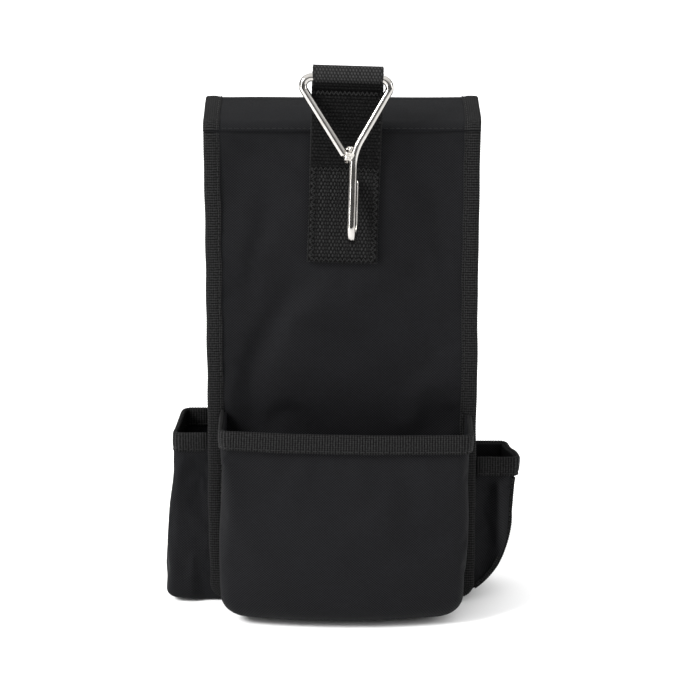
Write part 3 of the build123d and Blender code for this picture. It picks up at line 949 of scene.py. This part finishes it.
def build_front_pocket():
    """The wide pocket: one wrapped sheet with a belly, its corners and foot rounded."""
    root_y = SEAM_LOW[1]
    half = POCKET_HIGH[0]
    top = POCKET_HIGH[2]
    foot_round = 13.0

    def section(z, inset_x, inset_y):
        belly = np.sin(math.pi * np.clip((top - z) / top, 0, 1) ** 0.75)
        reach = root_y - POCKET_LOW[1] - 2.0 + 1.6 * belly - inset_y
        wide = half + 0.4 - 0.4 * belly - inset_x - 1.2 * smoothstep((40 - z) / 40)
        corner = 3.6 + 4.5 * belly + 3.0 * smoothstep((30 - z) / 30)
        out, across = pocket_plan(reach, wide, corner, side=17, turn=9, face=58)
        x = across + 1.2 * smoothstep((z - 20) / 60)
        return np.stack([x, root_y - out, np.full_like(x, z)], axis=1)

    walls = np.linspace(top, foot_round, 44)
    columns = [section(z, 0, 0) for z in walls]
    for angle in quarter_turn(12)[1:]:
        drop = foot_round * (1 - math.sin(angle))
        gather = foot_round * (1 - math.cos(angle))
        columns.append(section(drop + 0.4, gather, gather * 0.8))
    count = len(columns[-1])
    line_x = np.linspace(-0.9, 0.9, count) * (half - foot_round)
    line = np.stack([line_x, np.full(count, root_y + 0.6), np.full(count, 0.4)], axis=1)
    grid = close_floor(columns, line, (0.12, 0.3, 0.5, 0.7, 0.86, 0.99))
    x, y, z = np.moveaxis(grid.copy(), 2, 0)
    front = smoothstep((root_y - 22 - y) / 12)
    forward = np.clip((root_y - y) / 38, 0, 1)
    middle = 1 - np.clip(x / half, -1, 1) ** 2
    low = smoothstep((top - 8 - z) / (top - 12))
    dents = valleys(
        x, z,
        ((-58, 100), (-22, 24), 0.8, 13.0),
        ((56, 104), (64, 30), 0.8, 9.0),
        ((20, 106), (58, 34), 0.5, 14.0),
    )
    grid[..., 1] -= front * (0.8 * middle + dents + 0.22 * ripples(x, z, 60.0, 61))
    grid[..., 1] -= forward * low * 8.0 * middle
    grid[..., 2] -= forward * smoothstep((40 - z) / 40) * (1.6 + 2.0 * middle)
    side = (1 - front) * smoothstep(z / 25) * smoothstep((top - z) / 20)
    squeeze = np.sin(math.pi * np.clip((root_y - y) / 36, 0, 1))
    squeeze = squeeze * (1.2 + 0.5 * ripples(y, z, 44.0, 63))
    grid[..., 0] -= np.sign(x) * side * squeeze
    sag = 0.9 * np.cos(np.clip(x / half, -1, 1) * math.pi / 2) * smoothstep((z - 60) / 50)
    grid[..., 0] += 1.9 * smoothstep((z - 92) / 14) * smoothstep((-x - 30) / 30)
    grid[..., 2] -= front * sag + 0.018 * x * smoothstep((z - 40) / 60)
    hold = border(grid.shape[:2])
    hold[:, :5] = True
    hold[:, len(walls) - 4 :] = True
    grid = settled(grid, hold, slack=0.004, push=0.25, cap=1.2, stiffness=8.0)
    nodes = ["front_pocket_face", "front_pocket_gusset"]
    add_cloth("front_pocket_cloth", grid, (0, -1, 0), nodes)
    rim = [(*rim_line(grid), 65)]
    add_bound("front_pocket", "front_pocket_rim_tape", rim, RIM_WIDTH, RIM_HALF)


FOOT_INSET = 2.6  # how far in from the body's side a side pocket's floor is sewn


def side_pocket_grid(side, walls, reach_at, lean_back, corner, foot=0):
    """A side pocket's sheet. reach_at(z) is how far its outer wall stands from the middle.

    lean_back is how much nearer its rear corner is, at each height, and foot rounds its foot.
    """
    depth = (LEFT_HIGH[1] - LEFT_LOW[1]) / 2 + CLOTH
    root = GUSSET_HIGH[0] + 0.4
    columns = []
    for z in walls:
        reach = max(reach_at(z) - root, 0.6)
        out, across = pocket_plan(reach, depth, corner, side=36, turn=7, face=24)
        x = side * (root + out * (1 - lean_back(z) / reach * (across + depth) / (2 * depth)))
        columns.append(np.stack([x, across, np.full_like(x, z)], axis=1))
    base = columns[-1]
    reach = np.abs(base[:, 0]) - root
    far = np.max(reach)
    for angle in quarter_turn(8)[1:] if foot else ():
        gather = foot * (1 - math.cos(angle))
        ring = base.copy()
        ring[:, 0] = side * (root + reach * (far - gather) / far)
        ring[:, 1] = base[:, 1] * (depth - gather * 0.7) / depth
        ring[:, 2] = foot * (1 - math.sin(angle)) + 0.4
        columns.append(ring)
    count = len(base)
    closing_z = BOX_CORNER - math.sqrt(BOX_CORNER**2 - (BOX_CORNER - FOOT_INSET) ** 2)
    line = np.stack([np.full(count, side * (GUSSET_HIGH[0] - FOOT_INSET)),
                     np.linspace(-0.97, 0.97, count) * depth, np.full(count, closing_z)], axis=1)
    return close_floor(columns, line, (0.15, 0.35, 0.6, 0.82, 0.99))


def off_body(x):
    """0 where a side pocket's floor meets the body's rounded lower corner, and 1 outside it."""
    return smoothstep((np.abs(x) - GUSSET_HIGH[0] + FOOT_INSET) / 6)


def build_side_pocket(name, grid, seed):
    """Lets a side pocket's sheet settle, and adds it with the tape round its mouth."""
    hold = border(grid.shape[:2])
    hold[:, :5] = True
    hold |= np.abs(grid[..., 0]) < SEAM_HIGH[0] + 0.5
    hold |= grid[..., 2] < 10
    grid = settled(grid, hold, slack=0.006, push=0.15, cap=1.0, stiffness=8.0)
    nodes = [f"{name}_pocket_{part}" for part in ("front", "rear", "wall")]
    add_cloth(f"{name}_pocket_cloth", grid, (np.sign(np.mean(grid[..., 0])), 0, 0), nodes)
    edge, down, facing = rim_line(grid)
    past_flange = np.flatnonzero(np.abs(edge[:, 0]) > SEAM_HIGH[0] + 0.2)
    kept = slice(past_flange[0], past_flange[-1] + 1)
    rim = [(edge[kept], down[kept], facing[kept], seed)]
    add_bound(f"{name}_pocket", f"{name}_pocket_rim_tape", rim, RIM_WIDTH, RIM_HALF)


def build_left_pocket():
    mouth = LEFT_RIM_HIGH[2] - TAPE_SHELL
    mouth_reach = -LEFT_RIM_LOW[0] - 0.6
    foot_reach = -LEFT_LOW[0]
    foot = 4.5

    def reach_at(z):
        return mouth_reach + (foot_reach + 0.4 - mouth_reach) * (1 - z / mouth) ** 1.3

    def lean_back(z):
        return 4.5 * smoothstep((z - 20) / 70)

    walls = np.linspace(mouth, foot, 40)
    grid = side_pocket_grid(-1, walls, reach_at, lean_back, corner=5.0, foot=foot)
    x, y, z = grid[..., 0], grid[..., 1], grid[..., 2]
    front = smoothstep((-y - 12) / 7)
    body = smoothstep((z - 4) / 12) * smoothstep((mouth - 9 - z) / 14)
    dents = valley(x, z, (-81, mouth + 8), (-79, 36), 1.2, 6.5)
    low = smoothstep((45 - z) / 45)
    inner = smoothstep((x + 96) / 18)
    belly = low * (1.8 + 2.7 * smoothstep((-x - 78) / 9))
    grid[..., 1] -= front * (body * (dents * 1.5 + 0.25 * ripples(x, z, 45.0, 71)) + belly)
    wall = smoothstep((-x - 88) / 6) * np.clip(1 - (y / 19) ** 2, 0, 1)
    grid[..., 0] += wall * body * 0.3 * ripples(y, z, 44.0, 72)
    rise = 2.2 * smoothstep((y + 10) / 25) * smoothstep((z - 50) / 40)
    grid[..., 2] += rise - low * (3.0 + 1.8 * inner) * off_body(x)
    build_side_pocket("left", grid, 73)


def right_reach(z):
    """The right pocket's outer wall: leaning in, then one long curve in to the foot."""
    mouth_reach = RIGHT_RIM_HIGH[0] - 1.4
    bend_z, bend_reach, foot_reach, radius = 48.0, 96.6, 69.0, 50.0
    if z >= bend_z:
        share = (z - bend_z) / (RIGHT_RIM_HIGH[2] - bend_z)
        return bend_reach + (mouth_reach - bend_reach) * share
    chord = np.array([bend_reach - foot_reach, bend_z])
    middle = np.array([(bend_reach + foot_reach) / 2, bend_z / 2])
    half = np.linalg.norm(chord) / 2
    aside = np.array([-chord[1], chord[0]]) / (2 * half)
    centre = middle + aside * math.sqrt(radius**2 - half**2)
    return centre[0] + math.sqrt(radius**2 - (z - centre[1]) ** 2)


def set_back(x, z, mouth):
    """How far the outer strip of the right pocket's front turns back, under its rim."""
    return 5.0 * smoothstep((x - 88.5) / 9) * smoothstep((mouth - 10 - z) / 8)


def right_sag(z):
    """How far the right pocket's foot hangs down, away from the body."""
    return 2.0 * smoothstep((40 - z) / 40)


def build_right_pocket():
    mouth = RIGHT_RIM_HIGH[2] - TAPE_SHELL
    walls = np.concatenate([np.linspace(mouth, 16, 30), np.linspace(16, 0.5, 12)[1:]])

    def lean_back(z):
        return 5.5 * smoothstep((z - 30) / 45)

    grid = side_pocket_grid(1, walls, right_reach, lean_back, corner=2.6)
    x, y, z = grid[..., 0], grid[..., 1], grid[..., 2]
    front = smoothstep((-y - 12) / 7)
    body = smoothstep((z - 6) / 14) * smoothstep((mouth - 10 - z) / 8)
    dents = 1.6 * bump(x - 88.0, 2.4) * smoothstep((z - 20) / 20)
    dents += valley(x, z, (83.5, mouth + 8), (81.0, -6), 2.6, 4.5)
    grid[..., 1] += set_back(x, z, mouth) * front
    grid[..., 1] -= front * body * (dents + 0.25 * ripples(x, z, 34.0, 81))
    wall = smoothstep((x - 86) / 6) * np.clip(1 - (y / 19) ** 2, 0, 1)
    grid[..., 0] -= wall * body * (1.2 + 0.5 * ripples(y, z, 34.0, 82))
    rise = -4.6 * smoothstep((y + 14) / 28) * smoothstep((z - 40) / 40)
    grid[..., 2] += rise - right_sag(z) * off_body(x)
    build_side_pocket("right", grid, 83)

    depth = (RIGHT_HIGH[1] - RIGHT_LOW[1]) / 2 + CLOTH
    heights = [np.linspace(RIGHT_RIM_LOW[2] - 2, 48, 20), np.linspace(48, 1.5, 60)[1:]]
    points = [(right_reach(z) + 0.4, z - right_sag(z)) for z in np.concatenate(heights)]
    line = rounded(np.array(points), 4.0, FINE_STEP)
    line = line[line[:, 0] > SEAM_HIGH[0] + 0.3]
    inward = np.insert(-left_of(line), 1, 0, axis=1)
    back = set_back(line[:, 0], line[:, 1], mouth)
    edge = np.stack([line[:, 0], back - depth - 0.1, line[:, 1]], axis=1)
    seam = [(edge, inward, (0, -1, 0), 85)]
    add_bound("right_pocket_seam", "right_pocket_seam_tape", seam, width=2.8, half=0.8)


# The flap

FLAP_SPLIT_Y = 15.0
NEAR_BEND = 12.0
NEAR_RISE = math.radians(50)  # the slope at which the flap leaves its seam
FAR_BEND = 5.2
TAIL_CORNER = 16.0


def flap_line():
    """The flap's outer face in Y and Z: up its root, over the top and down the rear."""
    root_y = ROOT_LOW[1] + 0.2
    tail_y = TAIL_HIGH[1]
    slope = np.linspace(NEAR_RISE, math.radians(7), 14)
    near = np.stack([root_y + NEAR_BEND * (math.sin(NEAR_RISE) - np.sin(slope)),
                     ROOT_LOW[2] + NEAR_BEND * (np.cos(slope) - math.cos(NEAR_RISE))], axis=1)
    turn = quarter_turn(12)
    far = np.stack([tail_y - FAR_BEND * (1 - np.sin(turn)),
                    TOP_HIGH[2] - FAR_BEND * (1 - np.cos(turn))], axis=1)
    share = np.linspace(0, 1, 20)[1:-1, None]
    crown = near[-1] * (1 - share) + far[0] * share + np.array([0, 0.6]) * np.sin(math.pi * share)
    points = np.concatenate([near, crown, far, [(tail_y, TAIL_LOW[2])]])
    return rounded(points, 3.0, 0.25)


def split_line(line):
    """The flap's line, cut just before its far fold."""
    on_top = (line[:, 1] > TOP_LOW[2]) & (line[:, 0] >= FLAP_SPLIT_Y)
    cut = int(np.argmax(on_top))
    return line[: cut + 1], line[cut:]


def flap_grid(line, seed, corner=0.0):
    """The flap's cloth over a stretch of its line; corner rounds the end of the tail."""
    half = TOP_HIGH[0]
    line = resampled(line, 1.4)
    run = distances(line)
    x = (half - inset_at(run[-1] - run, corner))[:, None] * np.linspace(-1, 1, 64)[None, :]
    down = np.broadcast_to(run[:, None], x.shape)
    out = left_of(line)  # outward, because the line runs back over the top
    rise = 0.30 * ripples(x, down, 55.0, seed) * smoothstep((half - np.abs(x) - 8) / 14)
    rise = rise * inside_ends(run, 14)[:, None]
    return raised(x, line, out, rise), np.stack([x, down, np.zeros_like(x)], axis=-1), run[-1]


def near_fold():
    return (0, ROOT_LOW[1], ROOT_LOW[2] + 1.0), (0, ROOT_LOW[1] + 6.5, TOP_LOW[2] + 1.5)


def far_fold():
    return (0, TOP_HIGH[1] - 4.5, TOP_HIGH[2]), (0, TAIL_HIGH[1] + 0.5, TOP_HIGH[2] - 8.0)


def side_tape_line(line, side, half):
    """The fold line of the tape down one side of the flap, with its directions."""
    fine = resampled(line, FINE_STEP)
    run = distances(fine)
    x = side * (half - 0.15 * inside_ends(run, 8) * ripples_along(run, 30.0, 90 + side))
    out = np.insert(left_of(fine), 0, 0, axis=1)
    edge = np.stack([x, fine[:, 0], fine[:, 1]], axis=1) - out * (CLOTH / 2)
    return edge, (-side, 0, 0), out


def build_flap():
    near_line, far_line = split_line(flap_line())
    half = TAIL_TAPE_HIGH[0] - 0.5
    near_bodies = ("pouch", "flap_top", *near_fold())
    far_bodies = ("flap_top", "flap_tail", *far_fold())

    grid, weave, length = flap_grid(near_line, 91)
    nodes = ["flap_root", "flap_top"]
    near = add_cloth("flap_near_cloth", grid, (0, 0, 1), nodes, weave, near_bodies, 0)

    grid, weave, far_length = flap_grid(far_line, 92, TAIL_CORNER)
    weave[..., 1] += length
    far = add_cloth("flap_far_cloth", grid, (0, 1, 0), ["flap_tail"], weave, far_bodies, 0)

    sides = [(*side_tape_line(near_line, side, half), 93 + side) for side in (-1, 1)]
    add_bound("flap_near", "flap_top_side_tapes", sides, SEAM_WIDTH, RIM_HALF, 0, near_bodies)
    tail = [(*tail_tape_line(far_line, half), 97)]
    add_bound("flap_far", "flap_tail_edge_tape", tail, SEAM_WIDTH, RIM_HALF, 0, far_bodies)

    root = Solid()
    end_x, y, z = TOP_HIGH[0] - 9, ROOT_LOW[1] + 1.0, ROOT_LOW[2] + 1.0
    line = np.array([(-end_x, y, z), (end_x, y, z)])
    root.threads(*along_line(line, (0, -0.8, 0.6), stitch=2.2, gap=1.2), radius=0.2)
    add_piece("flap_root_stitching", root, SEWING_THREAD)


def tail_tape_line(line, half):
    """The fold line of the tape down one side of the tail, round its end and up the other."""
    corner = TAIL_CORNER + TAPE_SHELL
    down = resampled(line, 0.5)
    end_z = TAIL_TAPE_LOW[2]
    straight = down[down[:, 1] > end_z + corner]
    turn = quarter_turn(24)
    arc = np.stack([-half + corner * (1 - np.cos(turn)), np.full(len(turn), TAIL_HIGH[1]),
                    end_z + corner * (1 - np.sin(turn))], axis=1)
    left = np.concatenate([np.insert(straight, 0, -half, axis=1), arc])
    edge = resampled(np.concatenate([left, left[::-1] * (-1, 1, 1)]), FINE_STEP)
    away_y = edge[:, None, 1] - down[None, :, 0]
    away_z = np.maximum(edge[:, 2], end_z)[:, None] - down[None, :, 1]
    nearest = np.argmin(away_y**2 + away_z**2, axis=1)
    out = np.insert(left_of(down), 0, 0, axis=1)[nearest]
    inward = np.cross(tangents(edge), out)
    inward /= np.linalg.norm(inward, axis=1, keepdims=True)
    if inward[0, 0] < 0:
        inward = -inward
    return edge - out * (CLOTH / 2), inward, out


def build_closure():
    """The two strips of hook-and-loop tape, and the stitches that hold them."""
    for name, node, body, material, facing in (
        ("closure_loop_pile", "closure_loop_tape", "pouch", LOOP_PILE, 1),
        ("closure_hook_pile", "closure_hook_tape", "flap_tail", HOOK_PILE, -1),
    ):
        low, high = node_box(node)
        u, v = np.meshgrid(np.linspace(-1, 1, 90), np.linspace(-1, 1, 22), indexing="ij")
        x = high[0] * u
        z = (low[2] + high[2]) / 2 + (high[2] - low[2]) / 2 * v
        edge = np.minimum(high[0] - np.abs(x), np.minimum(z - low[2], high[2] - z))
        face = high[1] if facing > 0 else low[1]
        y = face - facing * (0.35 * (1 - smoothstep(edge / 1.6)) + 0.05 * ripples(x, z, 2.4, 7))
        solid = Solid()
        solid.shell(np.stack([x, y, z], axis=-1), 0.7, (0, facing, 0))
        add_piece(name, solid, material, [node], body)
    low, high = node_box("closure_hook_tape")
    sewing = Solid()
    y = TAIL_HIGH[1] + 0.05
    x, z_low, z_high = high[0] - 2, low[2] + 2, high[2] - 2
    corners = [(-x, y, z_low), (x, y, z_low), (x, y, z_high), (-x, y, z_high)]
    for ends in zip(corners, corners[1:] + corners[:1]):
        sewing.threads(*along_line(np.array(ends), (0, 1, 0)))
    add_piece("closure_stitching", sewing, SEWING_THREAD, (), "flap_tail")


# The strap and the hook


def strap_lean():
    """A function that leans points from upright to how the strap hangs, and the strap's foot,
    its bar's height up the leaning strap, and the bar's Y."""
    joint = next(j for j in frame["joints"] if j["name"] == "hook_swing")
    bar, axis = np.array(joint["pos_m"]) / MM, np.array(joint["axis"])
    angle = math.atan2(axis[2], -axis[0])
    cos, sin = math.cos(angle), math.sin(angle)
    foot = STRAP_LOW[2] + STRAP_WIDTH / 2 * sin
    turn = np.array([[cos, 0, sin], [0, 1, 0], [-sin, 0, cos]])
    pivot = np.array([0, 0, foot])

    def lean(points):
        return (points - pivot) @ turn.T + pivot

    return lean, foot, foot + (bar[2] - foot) / cos, bar[1]


def strap_line(foot, bar_z, bar_y):
    """The webbing's middle in Y and Z: up the panel, round the bar and down again."""
    back_y = PANEL_LOW[1] - STRAP_CLEAR - WEBBING / 2
    front_y = back_y - WEBBING
    sewn_top = foot + SEWN_HEIGHT
    stitch_z = bar_z - BAR_STITCH
    middle_y = (back_y + front_y) / 2
    slope = (middle_y - bar_y) / (bar_z - sewn_top)
    stitch_y = bar_y + BAR_STITCH * slope
    radius = 3.7 + WEBBING / 2
    centre_z = bar_z + 3.0
    turn = np.radians(np.linspace(-20, 200, 40))
    loop = np.stack([bar_y + radius * np.cos(turn), centre_z + radius * np.sin(turn)], axis=1)
    foot = foot - 0.6
    up = [(back_y, foot), (back_y, sewn_top), (stitch_y + WEBBING / 2, stitch_z)]
    down = [(stitch_y - WEBBING / 2, stitch_z), (front_y, sewn_top), (front_y, foot)]
    return rounded(np.concatenate([up, loop, down]), 3.4, WEBBING_STEP), sewn_top, stitch_z


def build_strap():
    lean, foot, bar_z, bar_y = strap_lean()
    line, sewn_top, stitch_z = strap_line(foot, bar_z, bar_y)
    run = distances(line)
    half = STRAP_WIDTH / 2
    across = np.linspace(-half, half, round(STRAP_WIDTH / WEBBING_STEP))
    out = left_of(line)  # the outside of the hairpin
    rows = run[:, None] / WEBBING_ROW
    columns = across[None, :] / WEBBING_COLUMN
    knots = np.cos(2 * math.pi * columns) * np.cos(math.pi * rows)
    knots = np.maximum(0, knots) ** 1.2
    patch = np.minimum(run, run[-1] - run)[:, None]
    sewn = smoothstep((sewn_top - foot + 1 - patch) / 3)
    loop = smoothstep((13.5 - np.abs(run - run[-1] / 2))[:, None] / 4)
    tight = np.maximum(sewn, loop)
    ridges = np.cos(2 * math.pi * rows)
    # Painted light: this tone lightens the knot and rib crowns as painted highlights, the flat
    # sewn part as lit, and the top of the loop most, as painted highlight from the light above.
    strap_tone_and_light = knots**1.8 * (0.22 + 0.48 * sewn + 1.75 * loop) + 0.02 + 0.24 * loop
    strap_tone_and_light = strap_tone_and_light + 0.07 * ridges * (1 - tight)
    selvedge = smoothstep((half - np.abs(across[None, :])) / 0.7)
    knots = knots * (0.5 + 0.5 * tight) * selvedge + 0.5 * (1 - selvedge)
    strap_tone_and_light = strap_tone_and_light * selvedge + 0.3 * (1 - selvedge)
    ribs = 0.10 * ridges * (1 - tight)
    lift = WEBBING / 2 - WEBBING_RELIEF * (1 - knots) - 0.3 * (1 - selvedge) + ribs
    wobble = 0.07 * np.sin(2 * math.pi * run / WEBBING_ROW) + 0.25 * ripples_along(run, 40.0, 101)
    x = across[None, :] + wobble[:, None] * (1 - selvedge) * np.sign(across[None, :])
    grid = lean(raised(x, line, out, lift))
    places = np.broadcast_arrays(across[None, :], run[:, None], strap_tone_and_light)
    solid = Solid()
    solid.shell(grid, WEBBING - 0.2, (0, 0, 1), np.stack(places, axis=-1))
    add_piece("hook_strap_webbing", solid, WEBBING_BLACK, ["hook_strap"])

    sewing = Solid()
    front_y = PANEL_LOW[1] - STRAP_CLEAR - 2 * WEBBING
    facing = (0, -1, 0)
    edge, low, high = half - 1.9, foot + 1.4, sewn_top - 1
    corners = [(-edge, low), (-edge, high), (edge, high), (edge, low)]
    for (xa, za), (xb, zb) in zip(corners, corners[1:] + corners[:1]):
        path = lean(np.array([(xa, front_y, za), (xb, front_y, zb)], float))
        sewing.threads(*zigzag(path, facing, width=2.0, pitch=2.6), radius=FINE_THREAD)
    front = line[len(line) // 2 :]
    z = stitch_z - 0.6
    y = np.interp(-z, -front[:, 1], front[:, 0]) - WEBBING / 2
    path = lean(np.array([(-half + 2, y, z), (half - 2, y, z)], float))
    sewing.threads(*zigzag(path, facing, width=2.2, pitch=2.4), radius=0.26)
    add_piece("hook_strap_stitching", sewing, SEWING_THREAD)


def build_bead():
    """A lumpy weld where the left leg meets the stem."""
    centre = (BEAD_LOW + BEAD_HIGH) / 2
    size = (BEAD_HIGH - BEAD_LOW) / 2
    rings, sides = 22, 36
    polar = np.linspace(0.06, math.pi - 0.06, rings)
    around = np.linspace(0, 2 * math.pi, sides + 1)
    x = np.outer(np.sin(polar), np.cos(around))
    y = np.outer(np.sin(polar), np.sin(around))
    z = np.outer(np.cos(polar), np.ones(sides + 1))
    lumps = 1 + 0.17 * ripples(x * 3, y * 3 + z * 4, 3.0, 111)
    lumps[:, -1] = lumps[:, 0]
    grid = centre + np.stack([x, y, z], axis=-1) * size * lumps[..., None] * 1.1
    solid = Solid()
    solid.shell(grid, 0.8, grid[rings // 2, sides // 2] - centre)
    add_piece("hook_weld", solid, WELD, ["hook_weld_bead"], "hook", subdivide=1)


WIRE = 2.25
HOOK_TILT = math.radians(12)
THROAT = 16.6
HOOK_CORNERS = (  # (along the bar, down the hook, behind it), and the bend's radius
    ((-0.7, 41.3, 0.0), 0.0),
    ((-28.2, 0.0, 0.0), 4.6),
    ((25.8, 0.0, 0.0), 4.6),
    ((4.2, 40.0, 0.0), 30.0),
    ((4.2, 88.3, 0.0), THROAT / 2 - 0.1),
    ((5.8, 88.3, THROAT), THROAT / 2 - 0.1),
    ((5.8, 57.0, THROAT), 0.0),
)


def bent(corners, radii, step):
    """An evenly spaced line through corners, each turned on its own radius."""
    line = [corners[0]]
    for before, corner, after, radius in zip(corners, corners[1:], corners[2:], radii[1:]):
        back = (before - corner) / np.linalg.norm(before - corner)
        ahead = (after - corner) / np.linalg.norm(after - corner)
        half = math.acos(float(np.clip(np.dot(back, ahead), -1, 1))) / 2
        middle = (back + ahead) / np.linalg.norm(back + ahead)
        centre = corner + middle * radius / math.sin(half)
        start = corner + back * radius / math.tan(half) - centre
        end = corner + ahead * radius / math.tan(half) - centre
        sweep = math.pi - 2 * half
        for angle in np.linspace(0, sweep, 24):
            arm = start * math.sin(sweep - angle) + end * math.sin(angle)
            line.append(centre + arm / math.sin(sweep))
    line.append(corners[-1])
    return resampled(np.array(line), step)


def build_wire():
    """The hook's bent wire: a round tube along its line, with a rounded free end."""
    lean, _, bar_z, bar_y = strap_lean()
    x, drop, back = np.array([place for place, _ in HOOK_CORNERS]).T
    y = bar_y - drop * math.sin(HOOK_TILT) + back * math.cos(HOOK_TILT)
    z = bar_z - drop * math.cos(HOOK_TILT) - back * math.sin(HOOK_TILT)
    radii = [radius for _, radius in HOOK_CORNERS]
    line = lean(bent(np.stack([x, y, z], axis=1), radii, 0.6))
    flow = tangents(line)
    side = np.zeros_like(flow)
    side[0] = np.cross(flow[0], (0, 1, 0))
    for i in range(1, len(flow)):
        side[i] = side[i - 1] - flow[i] * np.dot(side[i - 1], flow[i])
        side[i] /= np.linalg.norm(side[i])
    side[0] /= np.linalg.norm(side[0])
    up = np.cross(flow, side)
    cap = quarter_turn(9)[1:-1]
    girth = np.concatenate([np.full(len(line), WIRE), WIRE * np.cos(cap)])
    centre = np.concatenate([line, line[-1] + flow[-1] * WIRE * np.sin(cap)[:, None]])
    side = np.concatenate([side, np.tile(side[-1], (len(cap), 1))])
    up = np.concatenate([up, np.tile(up[-1], (len(cap), 1))])
    around = np.linspace(0, 2 * math.pi, 37)[:-1]
    ring = side[:, None] * np.cos(around)[:, None] + up[:, None] * np.sin(around)[:, None]
    points = centre[:, None] + ring * girth[:, None, None]
    rings, sides = points.shape[:2]
    solid = Solid()
    faces = tube_faces(rings, sides)[:, [0, 3, 2, 1]]
    solid.add(points.reshape(-1, 3), np.zeros((rings * sides, 3)), faces)
    first = np.arange(sides)
    solid.faces.append(first[::-1].tolist())
    solid.faces.append((first + (rings - 1) * sides).tolist())
    add_piece("hook_bent_wire", solid, NICKEL, ["hook_wire"], "hook")


def finish_cad_nodes():
    """The material for the CAD node that stays: the board inside the rear wall."""
    board = frame["nodes"]["rear_stiffener"]
    board.data.materials.clear()
    board.data.materials.append(BOARD)


# Floor, light and camera


FOOT_SAG = 4.8  # the floor lies this far below the stiff base, under the pockets' soft feet


def build_stage():
    data = bpy.data.meshes.new("floor")
    size = 12.0  # metres
    corners = [(-size, -size, 0), (size, -size, 0), (size, size, 0), (-size, size, 0)]
    data.from_pydata(corners, [], [(0, 1, 2, 3)])
    floor = new_object("floor", data)
    floor.location.z = -FOOT_SAG * MM
    paint = Shader("floor_paint", (0.93, 0.93, 0.93), 0.9)
    place = paint.node("ShaderNodeTexCoord", output="Object")
    paint.colour(paint.noise(place, 1.5), (0.92, 0.92, 0.92), (0.94, 0.94, 0.94))
    data.materials.append(paint.material)


def add_area_light(name, place, target, size, power):
    data = bpy.data.lights.new(name, "AREA")
    data.shape = "RECTANGLE"
    data.size, data.size_y = size
    data.energy = power
    light = new_object(name, data)
    light.location = place
    light.rotation_mode = "QUATERNION"
    light.rotation_quaternion = (Vector(target) - Vector(place)).to_track_quat("-Z", "Y")


def build_lights():
    middle = (0, 0, 0.15)
    add_area_light("key", (-1.6, -1.0, 1.5), middle, (0.75, 0.75), 66)
    add_area_light("side", (1.7, -0.45, 0.7), middle, (0.5, 0.9), 10)
    add_area_light("strip", (-0.55, -0.42, 0.3), (0, -0.04, 0.25), (0.07, 0.5), 1.6)
    world = bpy.data.worlds.new("studio")
    world.use_nodes = True
    tree = world.node_tree
    back = tree.nodes["Background"]
    place = tree.nodes.new("ShaderNodeTexCoord")
    split = tree.nodes.new("ShaderNodeSeparateXYZ")
    tree.links.new(place.outputs["Generated"], split.inputs[0])
    height = tree.nodes.new("ShaderNodeMapRange")
    height.interpolation_type = "SMOOTHSTEP"
    tree.links.new(split.outputs["Z"], height.inputs["Value"])
    for key, value in {"From Min": 0.1, "From Max": 0.8, "To Min": 0.12, "To Max": 1.72}.items():
        height.inputs[key].default_value = value
    tree.links.new(height.outputs["Result"], back.inputs["Strength"])
    back.inputs["Color"].default_value = (1, 1, 1, 1)
    bpy.context.scene.world = world
    bpy.context.scene.view_settings.view_transform = "Standard"


CAMERA_ELEVATION = math.radians(18)
CAMERA_DISTANCE = 1.8
CAMERA_LENS = 165.9
CAMERA_SHIFT = (0.011429, -0.007429)  # shares of the picture's width


def build_camera():
    data = bpy.data.cameras.new("camera")
    data.lens = CAMERA_LENS
    data.sensor_width = 36
    data.shift_x, data.shift_y = CAMERA_SHIFT
    camera = new_object("camera", data)
    target = Vector((0, PANEL_LOW[1] * MM, 0.150))
    back = Vector((0, -math.cos(CAMERA_ELEVATION), math.sin(CAMERA_ELEVATION)))
    camera.location = target + back * CAMERA_DISTANCE
    camera.rotation_mode = "QUATERNION"
    camera.rotation_quaternion = (-back).to_track_quat("-Z", "Y")
    bpy.context.scene.camera = camera


def main():
    for build in (
        build_front_panel, build_rear_panel, build_gusset, build_seam_tapes, build_compartment,
        build_front_pocket, build_left_pocket, build_right_pocket, build_flap, build_closure,
        build_strap, build_wire, build_bead, finish_cad_nodes, build_stage, build_lights,
        build_camera,
    ):
        build()


main()
